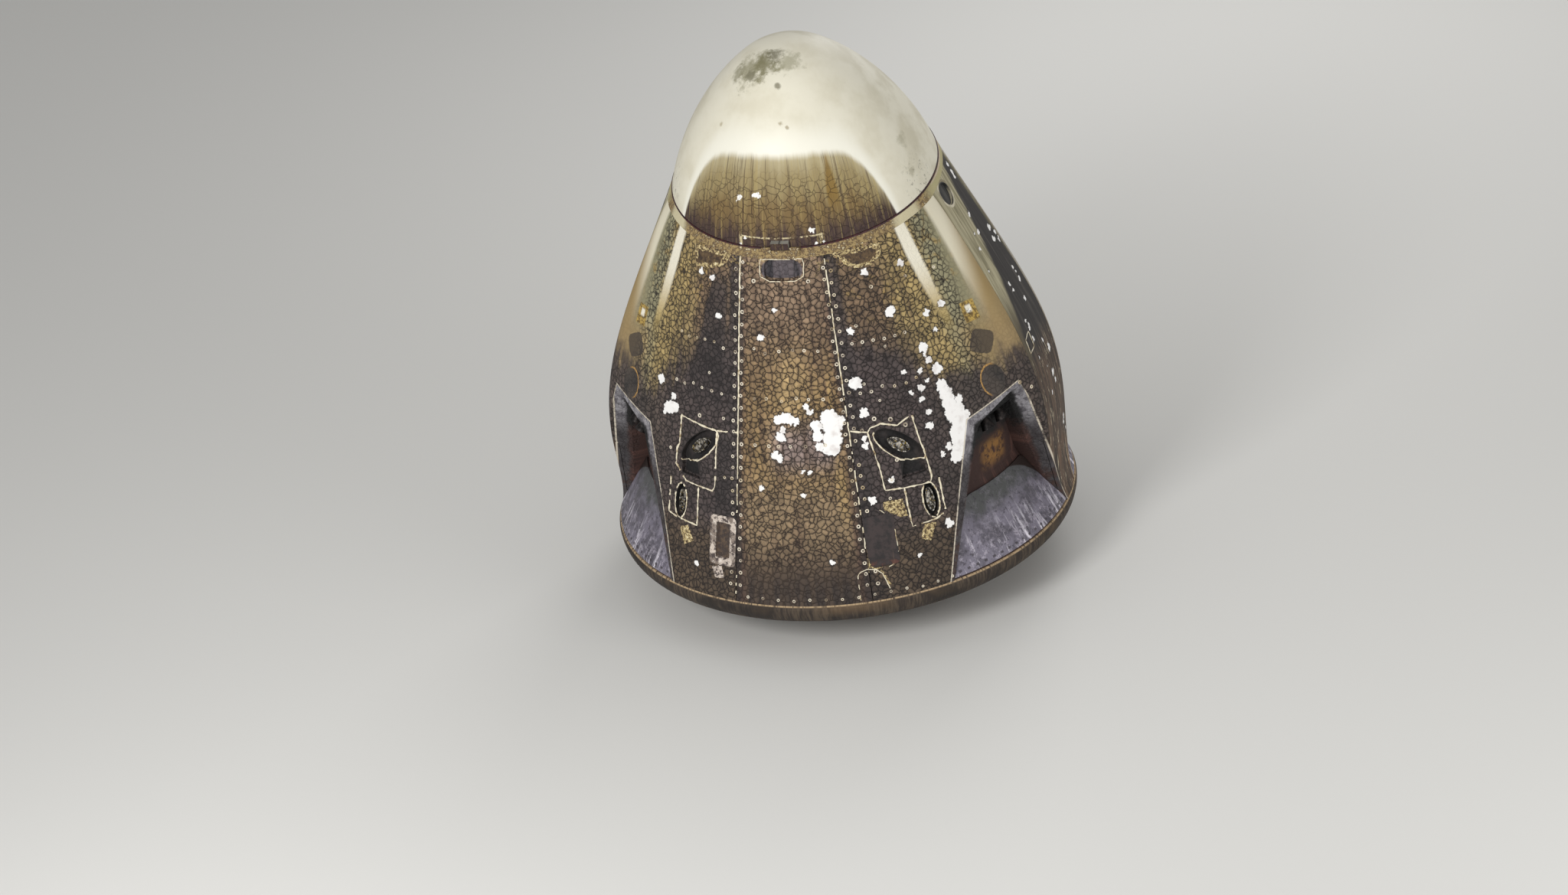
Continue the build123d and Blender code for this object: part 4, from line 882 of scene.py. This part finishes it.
collar = Finish("crusted_collar", rough=0.85)
crust = collar.noise(36.0, 5.0, 0.7)
spread = collar.noise(6.0, 4.0, 0.6)
bleached = (collar.aside + spread * 10.0).ramp(52.0, 58.0) * collar.aside.ramp(66.0, 61.0)
ring_face = collar.mix("a08a5e", "5c4832", crust.ramp(0.42, 0.56)).over(
    "e0d3ab", crust.ramp(0.58, 0.66) * 0.9,
    "c9bf9d", bleached,
    "b3aa80", (collar.aside + spread * 10.0).ramp(72.0, 82.0),
    "b9ab90", (collar.aside + spread * 20.0).ramp(112.0, 130.0))
collar.bump(crust, 0.007)
coat(collar.finish(ring_face, 0.9 - crust * 0.2), "forward_collar")


def seam_ring(name, outline, finish):
    """Moulding swept round the nose seam, open over the cap's hinge."""
    shape = bmesh.new()
    corners = [shape.verts.new((0.0, -1.128 - out, up)) for out, up in outline]
    sides = [shape.edges.new(pair) for pair in zip(corners, corners[1:] + corners[:1])]
    bmesh.ops.rotate(shape, verts=shape.verts, matrix=Matrix.Rotation(radians(HINGE_GAP), 3, "Z"))
    bmesh.ops.spin(shape, geom=corners + sides, axis=(0, 0, 1), cent=(0, 0, 0),
                   angle=radians(360.0 - 2 * HINGE_GAP), steps=180)
    bmesh.ops.holes_fill(shape, edges=[e for e in shape.edges if e.is_boundary])
    bmesh.ops.transform(shape, matrix=SEAM_FRAME, verts=shape.verts)
    made = piece(name, shape, "capsule", finish.material)


lip_paint = Finish("pinkish_lip", rough=0.7)
lip_wear = lip_paint.noise(30.0, 5.0, 0.7)
lip_paint.bump(lip_wear, 0.004)
lip_colour = lip_paint.mix("c8ab98", "8d7161", lip_wear.ramp(0.45, 0.64)).over(
    "cdbfa6", lip_paint.aside.ramp(46.0, 54.0) * 0.7)
lip_paint.finish(lip_colour, lip_wear * 0.3 + 0.5)
seam_ring("nose_lip", [(0.000, -0.018), (0.009, -0.019), (0.0135, -0.026), (0.0145, -0.038),
                       (0.012, -0.050), (0.004, -0.058)], lip_paint)
seal = Finish("maroon_seal", rough=0.45)
seal_wear = seal.noise(40.0, 3.0)
seal.bump(seal_wear, 0.001)
seal.finish(seal.mix("421a1e", "1f0e10", seal_wear.ramp(0.4, 0.65)), seal_wear * 0.3 + 0.35)
seam_ring("nose_seal", [(-0.004, 0.000), (0.0055, -0.001), (0.0085, -0.008), (0.0065, -0.0165),
                        (-0.004, -0.0175)], seal)


# Nose cap: a moulded composite dome with the white coat, lined with grey gores. The flow
# scorched an arch of tan and brown into its windward foot, bleached the rim of that arch,
# and smudged its tip.
ARCH_TOP, ARCH_HALF_WIDTH = 4.275, 51.8
cap = Finish("nose_cap_coat", rough=0.6)
height = seam_height(cap)
fine_run = cap.grain(58.0, 1.1, 5.0, 0.7)
wide_run = cap.grain(15.0, 0.8, 3.0, 0.6)
cloud = cap.noise(3.4, 4.0, 0.6)
arch = ARCH_TOP - (cap.aside / ARCH_HALF_WIDTH).math("POWER", 6.0) * 0.62
depth = arch - cap.z + (wide_run - 0.5) * 0.05
inside_arch = depth.ramp(-0.015, 0.06) * cap.y.ramp(0.1, -0.1)
glow = depth.ramp(-0.3, -0.03) * cap.aside.ramp(66.0, 57.0)
cream = cap.mix("e4dfcc", "d3ccb4", cloud.ramp(0.4, 0.72) * 0.6).over(
    "c4bda4", cap.aside.ramp(62.0, 84.0) * cloud.ramp(0.36, 0.66) * 0.5,
    "eeebdc", glow)
from_wedge = (cap.angle - 25.0).abs()
wedge = (from_wedge * 0.1 + cap.z - 4.27).ramp(0.06, -0.1)
bent = cap.shaken(16.0, 2.0, 0.55, 0.05)
split = cap.cells("DISTANCE_TO_EDGE", 15.0, place=bent).ramp(0.0, 0.06)
cracked = (1.0 - split) * depth.ramp(0.06, 0.3)
patch_line = cap.aside.ramp(18.6, 17.4) * cap.aside.ramp(16.2, 17.2)
patch_line = patch_line.most(height.within(0.072, 0.084, 0.004)) * cap.aside.ramp(18.6, 17.6)
patch_line = patch_line * height.ramp(0.092, 0.084) * cap.noise(26.0, 4.0, 0.7).ramp(0.46, 0.54)
burnt_arch = cap.mix("b4a886", "94845c", (depth + wide_run * 0.2 - 0.1).ramp(0.0, 0.2)).over(
    "745e38", (depth + wide_run * 0.4 - 0.2).ramp(0.2, 0.46),
    "3b2927", (height + (wide_run - 0.5) * 0.5).ramp(0.26, 0.02),
    "a8945c", fine_run.ramp(0.53, 0.64) * 0.5,
    "4d3b24", fine_run.ramp(0.47, 0.36) * 0.65,
    "7d6022", wedge * from_wedge.ramp(3.4, 1.8) * cap.z.ramp(3.75, 3.95) * 0.8,
    "33241a", cracked * 0.6,
    "d8c9a0", patch_line * 0.9)
paint_shown = cream.over(burnt_arch, inside_arch)
cloudy = cap.noise(11.0, 5.0, 0.7) - 0.5
for azimuth, z, size, colour, strength in (
        (-28, 4.83, 0.22, "8c8768", 0.75), (-14, 4.87, 0.17, "77724f", 0.8),
        (-40, 4.77, 0.12, "7d785a", 0.6), (12, 4.88, 0.14, "8f8b6b", 0.6),
        (-5, 4.91, 0.10, "615d43", 0.7), (-24, 4.79, 0.08, "6c6850", 0.6),
        (0.9, 4.75, 0.04, "6a6448", 0.75), (-37, 4.43, 0.03, "a3946e", 0.6),
        (3.0, 4.495, 0.03, "94845f", 0.7), (7.0, 4.46, 0.022, "94845f", 0.7),
        (71, 4.1, 0.08, "9c9678", 0.5), (68, 3.85, 0.07, "8d8666", 0.5)):
    smudge = cap.away(cap.place, azimuth, z) * (1 / size) + cloudy * 2.2
    paint_shown = paint_shown.over(colour, smudge.ramp(0.95, 0.25) * strength)
edge_marks = cap.noise(30.0, 4.0, 0.7).ramp(0.56, 0.64) * cap.aside.within(62.0, 80.0, 4.0)
paint_shown = paint_shown.over("77735f", edge_marks * height.ramp(0.4, 0.05) * 0.7)
chips = flakes(cap, [
    (-17.8, 3.93, 0.022), (-19.2, 3.9, 0.012), (-9.9, 3.965, 0.026), (-8.2, 3.95, 0.02),
    (13.4, 3.66, 0.02), (14.6, 3.65, 0.018), (-15.1, 3.6, 0.014), (14.9, 3.545, 0.016),
    (17.9, 3.56, 0.014), (-17.8, 3.55, 0.018)])
paint_shown = paint_shown.over("f3f1ec", chips.ramp(0.0, 0.06))
# The lining is where the surface faces the middle of the dome and not away from it.
outward = cap.vector("SUBTRACT", cap.place, (0.0, -0.04, 3.75))
facing = cap.node("TexCoord", {}, {}, "Normal")
hollow_side = cap.vector("DOT_PRODUCT", facing, outward, "Value").ramp(0.3, 0.15)
gores = cap.angle.beat(30.0).ramp(0.484, 0.492)
backing = cap.mix("8f8c82", "7e7b72", cloud.ramp(0.4, 0.62)).over("4b4a45", gores)
cap.bump((1.0 - cracked + fine_run * inside_arch * 0.3) * (1.0 - hollow_side), 0.004)
coat(cap.finish(paint_shown.over(backing, hollow_side), inside_arch * 0.25 + 0.5), "nose_cap")


# Fastener caps: rings of pale sealant smeared round each screw that holds the panels, about
# 35 mm across. They run down both sides of the seams and in rows over the stringers.
SEAM = 17.3
sealant = Finish("pale_sealant", rough=0.8)
smear = sealant.noise(11.0, 4.0, 0.7)
sealant.bump(sealant.noise(140.0), 0.002)
seal_colour = sealant.mix("e6dcc8", "8d7e6b", smear.ramp(0.46, 0.64)).over(
    "b59a60", sealant.noise(2.0).ramp(0.52, 0.62) * 0.4)
sealant.finish(seal_colour, smear * 0.3 + 0.55)
ring_template = bmesh.new()
profile = [ring_template.verts.new((r, 0.0, h)) for r, h in (
    (0.0065, -0.001), (0.009, 0.0035), (0.0135, 0.004), (0.017, -0.001))]
profile += [ring_template.edges.new(pair) for pair in zip(profile, profile[1:])]
bmesh.ops.spin(ring_template, geom=profile, axis=(0, 0, 1), cent=(0, 0, 0), angle=2 * pi,
               steps=10, use_merge=True)
bmesh.ops.recalc_face_normals(ring_template, faces=ring_template.faces)
ring_mesh = bpy.data.meshes.new("sealant_ring")
ring_template.to_mesh(ring_mesh)
ring_template.free()
chance = random.Random(8)
places = []
for hand in (-1, 1):
    for column in (16.3, 18.9):
        z = SCREW_FOOT
        while z < SCREW_TOP:
            spoilt = z < 1.95 and column > SEAM and hand > 0 and chance.random() < 0.2
            beside_port = hand < 0 and column > SEAM and 0.82 < z < 1.3
            if not spoilt and not beside_port:
                places.append((hand * (column + chance.uniform(-0.25, 0.25)), z, 1.0))
            z += SCREW_STEP + chance.uniform(-0.008, 0.008)
for z in (2.69, 2.30):
    places += [(a, z + chance.uniform(-0.02, 0.02), 0.9) for a in (
        -11.6, -7.6, -2.6, 2.2, 6.1, 10.7, -23.6, -27.6, -31.8, -35.6, -39.4, -43.2,
        22.5, 26.1, 29.9, 33.8, 37.7, 41.3)]
places += [(a, 1.91, 0.95) for a in (-11.6, -7.2, -4.2, -0.6, 4.0, 9.8)]
places += [(24.5, 0.93 + 0.093 * i, 0.9) for i in range(4)]
places += [
    (21.6, 1.256, 0.9), (25.9, 1.393, 0.9), (21.6, 0.904, 0.9), (25.4, 2.063, 1.3), (30.3, 2.027, 1.3),
    (34.5, 1.952, 1.2), (27.3, 1.541, 0.9), (21.2, 1.989, 1.0), (29.8, 1.689, 1.0), (71.6, 1.94, 1.1),
    (74.6, 1.854, 1.1), (24.9, 2.84, 0.9), (24.2, 2.36, 0.8), (28.2, 2.2, 0.8), (33.5, 2.62, 0.7),
    (47.0, 3.12, 0.8), (33.1, 3.12, 1.0), (-22.6, 2.09, 0.9), (-32.0, 2.06, 1.2), (-29.0, 2.44, 0.8),
    (-21.6, 1.6, 0.9), (-43.0, 1.7, 0.9), (59.0, 3.1, 0.9), (-11.4, 3.262, 1.2), (10.0, 3.255, 1.1)]
places += [(a, 0.625 + chance.uniform(-0.01, 0.01), 0.8) for a in range(-14, 40, 4)]
rings = bmesh.new()
for azimuth, z, size in places:
    count = len(rings.verts)
    rings.from_mesh(ring_mesh)
    rings.verts.ensure_lookup_table()
    swell = Matrix.Scale(size * chance.uniform(0.9, 1.1), 4)
    bmesh.ops.transform(rings, matrix=seated(azimuth, z) @ swell, verts=rings.verts[count:])
piece("sealant_rings", rings, "capsule", sealant.material)


# Sealing beads: cream sealant laid in the seams and round the thruster plates by hand, about
# 15 mm wide. It is lumpy, scorched in places, and has broken out of the lower seams.
bead_paint = Finish("cream_bead", rough=0.75)
bead_wear = bead_paint.noise(16.0, 5.0, 0.7)
bead_paint.bump(bead_paint.noise(90.0, 3.0), 0.003)
bead_colour = bead_paint.mix("ece2c8", "a8926c", bead_wear.ramp(0.48, 0.66)).over(
    "5e4f40", bead_wear.ramp(0.64, 0.72))
bead_paint.finish(bead_colour, bead_wear * 0.3 + 0.5)


def bead(name, runs, width, ragged, least=0.6, most=1.15):
    """Beads along runs of (azimuth, height) points, on the skin; ragged breaks them up."""
    line = bpy.data.curves.new(name, "CURVE")
    line.dimensions = "3D"
    line.bevel_depth = width / 2
    line.bevel_resolution = 1
    line.use_fill_caps = True
    line.materials.append(bead_paint.material)
    for corners in runs:
        track = []
        for (a0, z0), (a1, z1) in zip(corners, corners[1:]):
            reach = hypot(radians(a1 - a0) * 1.6, z1 - z0)
            steps = max(2, int(reach / 0.022))
            track += [(a0 + (a1 - a0) * i / steps, z0 + (z1 - z0) * i / steps) for i in range(steps)]
        track.append(corners[-1])
        stretch = []
        for azimuth, z in track:
            if chance.random() < ragged:
                add_spline(line, stretch)
                stretch = []
                continue
            where, out = skin(azimuth + chance.gauss(0, 0.05), z + chance.gauss(0, 0.0015))
            stretch.append((where + out * 0.0005, chance.uniform(least, most)))
        add_spline(line, stretch)
    made = bpy.data.objects.new(name, line)
    link(made)
    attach(made, "capsule")


def add_spline(line, stretch):
    """Adds an unbroken stretch of bead, unless it is too short to show."""
    if len(stretch) < 2:
        return
    spline = line.splines.new("POLY")
    spline.points.add(len(stretch) - 1)
    for point, (where, swell) in zip(spline.points, stretch):
        point.co = (*where, 1.0)
        point.radius = swell


def oval(pocket, grown, hand):
    """Points round an oval pocket, as azimuths and heights, that much outside its rim."""
    azimuth, z, long_half, short_half, tilt = pocket
    level, steep = cos(radians(tilt)), sin(radians(tilt))
    around = []
    for step in range(25):
        turn = 2 * pi * step / 24
        along, beside = (long_half + grown[0]) * cos(turn), (short_half + grown[1]) * sin(turn)
        across = along * level + beside * steep
        height = z + (beside * level - along * steep) * cos(LEAN)
        around.append((hand * (azimuth + degrees(across / cone(height))), height))
    return around


bead("seam_bead_left", [[(-SEAM, 3.45), (-SEAM, 1.9)]], 0.015, 0.0)
bead("seam_bead_left_low", [[(-SEAM, 1.9), (-SEAM, 1.28)], [(-SEAM, 0.8), (-SEAM, 0.62)]], 0.012, 0.12)
bead("seam_bead_right", [[(SEAM, 3.42), (SEAM, 2.3)]], 0.014, 0.01)
bead("seam_bead_right_low", [[(SEAM, 2.28), (SEAM, 1.3)], [(SEAM, 1.2), (SEAM, 1.0)]], 0.013, 0.16)
bead("thruster_frames", [
    [(-39.5, 2.01), (-30.9, 1.984), (-24.9, 1.972), (-24.8, 1.5), (-25.6, 1.465), (-35.4, 1.476),
     (-40.1, 1.593), (-40.1, 1.726), (-39.3, 1.773), (-39.5, 2.01)],
    [(-41.7, 1.486), (-41.4, 1.159), (-38, 1.143), (-30.3, 1.136), (-30.7, 1.458)],
    [(37.0, 2.013), (37.7, 1.789), (38.4, 1.653), (38.7, 1.479), (38, 1.435), (30.5, 1.448),
     (24.9, 1.469), (24.4, 1.669), (22.7, 1.962), (23.6, 1.995), (27, 2.014), (31.9, 1.967), (36, 2.01)],
    [(30.3, 1.45), (30.3, 1.21), (30.5, 1.12), (37.3, 1.129), (40.3, 1.16), (40.6, 1.451)],
    [(-24.9, 1.975), (-17.5, 1.995)], [(17.6, 2.0), (22.7, 1.965)]], 0.015, 0.05, 0.4, 1.5)
right_rim, left_rim = (oval(UPPER_POCKET, (0.012, 0.013), hand) for hand in (1, -1))
bead("thruster_rims", [
    right_rim[12:24] + right_rim[:4], left_rim[10:25],
    *(oval(LOWER_POCKET, (0.010, 0.010), hand) for hand in (1, -1))], 0.013, 0.06, 0.4, 1.4)
bead("port_edges", [
    [(-8.5, 3.44), (8.5, 3.44), (9.0, 3.40), (8.4, 3.3), (5.2, 3.264), (-4.8, 3.264), (-8.6, 3.3),
     (-9.0, 3.40), (-8.5, 3.44)],
    [(14.4, 0.6), (14.4, 0.8), (15.2, 0.835), (17, 0.851), (19.3, 0.838), (20.6, 0.796), (22, 0.66)],
    [(80.4, 2.188), (84.8, 2.201), (84.4, 2.068), (80, 2.067), (80.4, 2.188)],
    [(22.4, 1.32), (24.6, 1.25), (25.7, 1.13), (25.6, 0.95), (24.6, 0.86), (22.4, 0.84)]], 0.009, 0.09)


# Crusts: swollen, blistered remains of the coat over glued-on blocks: beside the front
# pocket, on the tags under the thrusters, and on the plates beside the seams.
CRUST_GRID, CRUST_MARGIN = 0.009, 0.01
crust_paint = Finish("blistered_crust", rough=0.85)
blister = crust_paint.noise(44.0, 5.0, 0.7)
crust_colour = crust_paint.mix("c2ad7c", "4a3827", blister.ramp(0.46, 0.56)).over(
    "ede2bd", blister.ramp(0.42, 0.36))
crust_paint.bump(blister, 0.008)
crust_paint.finish(crust_colour, 0.9 - blister * 0.2)
middle_paint = Finish("scorched_middle", rough=0.85)
spatter = middle_paint.noise(26.0, 5.0, 0.7)
middle_paint.bump(spatter, 0.006)
middle_colour = middle_paint.mix("5d4a33", "3a2d22", spatter.ramp(0.44, 0.6)).over(
    "a8915f", spatter.ramp(0.4, 0.34))
middle_paint.finish(middle_colour, 0.9 - spatter * 0.2)


def gap_inside(outline, place):
    """Distance of a place inside a flat outline from its edge; below 0 outside."""
    inside, gap = False, 1.0
    for start, end in zip(outline, outline[1:] + outline[:1]):
        if (start.y > place.y) != (end.y > place.y):
            if place.x < start.x + (end.x - start.x) * (place.y - start.y) / (end.y - start.y):
                inside = not inside
        edge = end - start
        share = max(0.0, min(1.0, (place - start).dot(edge) / edge.length_squared))
        gap = min(gap, (place - start - edge * share).length)
    return gap if inside else -gap


def crusts(name, outlines, thick, finish, middle=None):
    """Blistered sheets over outlines of (azimuth, height) points, sunk into the skin outside."""
    sheet = bmesh.new()
    inner = set()
    for outline in outlines:
        corners = [Vector((radians(a) * cone(z), z)) for a, z in outline]
        low = Vector([min(side) - CRUST_MARGIN for side in zip(*corners)])
        high = Vector([max(side) + CRUST_MARGIN for side in zip(*corners)])
        size = high - low
        columns, rows = (max(4, int(length / CRUST_GRID)) for length in size)
        made = bmesh.ops.create_grid(sheet, x_segments=columns, y_segments=rows, size=0.5)["verts"]
        for v in made:
            flat = Vector((low.x + size.x * (v.co.x + 0.5), low.y + size.y * (v.co.y + 0.5)))
            gap = gap_inside(corners, flat)
            where, out = skin(degrees(flat.x / cone(flat.y)), flat.y)
            lump = 0.55 + 0.45 * noise.noise(where * 30.0) + 0.3 * noise.noise(where * 75.0)
            rise = max(0.0, min(1.0, (gap + 0.006 * noise.noise(where * 45.0)) / 0.012))
            if gap > 0.03 + 0.015 * noise.noise(where * 25.0):
                inner.add(v)
                rise *= 0.6
            v.co = where + out * (rise * thick * lump - 0.0025)
    if middle:
        for face in sheet.faces:
            face.material_index = int(inner.issuperset(face.verts))
    made = piece(name, sheet, "capsule", finish.material, *([middle.material] if middle else []))
    for face in made.data.polygons:
        face.use_smooth = True


crusts("nose_crusts", [
    [(-41.5, 3.46), (-39.7, 3.28), (-31.5, 3.295), (-25.9, 3.336), (-20.5, 3.46)],
    [(18.6, 3.46), (22.9, 3.41), (24.5, 3.343), (28.5, 3.294), (35.3, 3.288), (40.1, 3.352),
     (40.5, 3.45)]], 0.018, crust_paint, middle_paint)
crusts("plate_tags", [
    [(-36.8, 1.073), (-33.7, 1.112), (-31.2, .992), (-34.5, .932)],
    [(33.8, 1.121), (37.1, 1.101), (34.7, .963), (31.8, .999)],
    [(23.7, 1.378), (29.2, 1.369), (29.9, 1.215), (27.6, 1.223), (23.6, 1.31)]], 0.02, crust_paint)
crusts("port_blocks", [[(-24.7, .835), (-21.7, .854), (-20.9, .75), (-23.7, .741)]], 0.02, plate)
crusts("seam_crumbs", [
    [(17.6, 0.93), (20.8, 0.92), (21.4, 0.85), (19.6, 0.83), (17.4, 0.86)],
    [(19.6, 0.84), (20.8, 0.82), (22.6, 0.69), (21.9, 0.68)]], 0.014, crust_paint)


# Stage: a pale floor under the craft, soft lamps, and the camera at the photograph's angle.
# The craft stands level on its heat shield, so the camera looks down on it and is rolled.
PHOTO_WIDTH = 2048
FOCAL_PIXELS = 6866.0
PIXELS_RIGHT, PIXELS_DOWN = 56.5, 147.5
CAMERA_AWAY = 45.0
AIM_HEIGHT = 2.1
bpy.context.scene.view_settings.view_transform = "Standard"
look_az, look_up, roll = radians(14.6), radians(27.3), radians(-7.4)
back = Vector((sin(look_az) * cos(look_up), -cos(look_az) * cos(look_up), sin(look_up)))
level = Vector((cos(look_az), sin(look_az), 0.0))
rise = back.cross(level)
right = level * cos(roll) + rise * sin(roll)
upward = rise * cos(roll) - level * sin(roll)
axes = Matrix((right, upward, back)).transposed()
aim = (Matrix.Rotation(atan2(PIXELS_RIGHT, FOCAL_PIXELS), 3, "Y")
       @ Matrix.Rotation(atan2(-PIXELS_DOWN, FOCAL_PIXELS), 3, "X"))
camera = bpy.data.objects.new("camera", bpy.data.cameras.new("camera"))
camera.data.sensor_width = 36.0
camera.data.lens = 36.0 * FOCAL_PIXELS / PHOTO_WIDTH
camera.data.clip_end = 200.0
stand = Matrix.Translation(Vector((0, 0, AIM_HEIGHT)) + back * CAMERA_AWAY)
camera.matrix_world = stand @ (axes @ aim).to_4x4()
link(camera)
bpy.context.scene.camera = camera

floor_mesh = bmesh.new()
bmesh.ops.create_circle(floor_mesh, cap_ends=True, segments=64, radius=60.0)
floor = bpy.data.objects.new("floor", bpy.data.meshes.new("floor"))
floor_mesh.to_mesh(floor.data)
floor_mesh.free()
link(floor)
ground = Finish("pale_floor", rough=0.9)
floor.data.materials.append(ground.finish("d9d8d4"))


def lamp(name, place, size, power):
    """Soft square lamp that faces the craft's middle."""
    light = bpy.data.lights.new(name, "AREA")
    light.size, light.energy = size, power
    holder = bpy.data.objects.new(name, light)
    holder.location = place
    holder.rotation_mode = "QUATERNION"
    holder.rotation_quaternion = (Vector((0, 0, 2.2)) - Vector(place)).to_track_quat("-Z", "Y")
    link(holder)


lamp("key_lamp", (-4.0, -13.0, 9.0), 5.0, 1250.0)
lamp("fill_lamp", (12.0, -7.0, 6.0), 7.0, 450.0)
lamp("rear_lamp", (3.0, 13.0, 9.0), 7.0, 600.0)
world = bpy.data.worlds.new("studio")
world.use_nodes = True
world.node_tree.nodes["Background"].inputs["Color"].default_value = (1, 1, 1, 1)
world.node_tree.nodes["Background"].inputs["Strength"].default_value = 0.42
bpy.context.scene.world = world
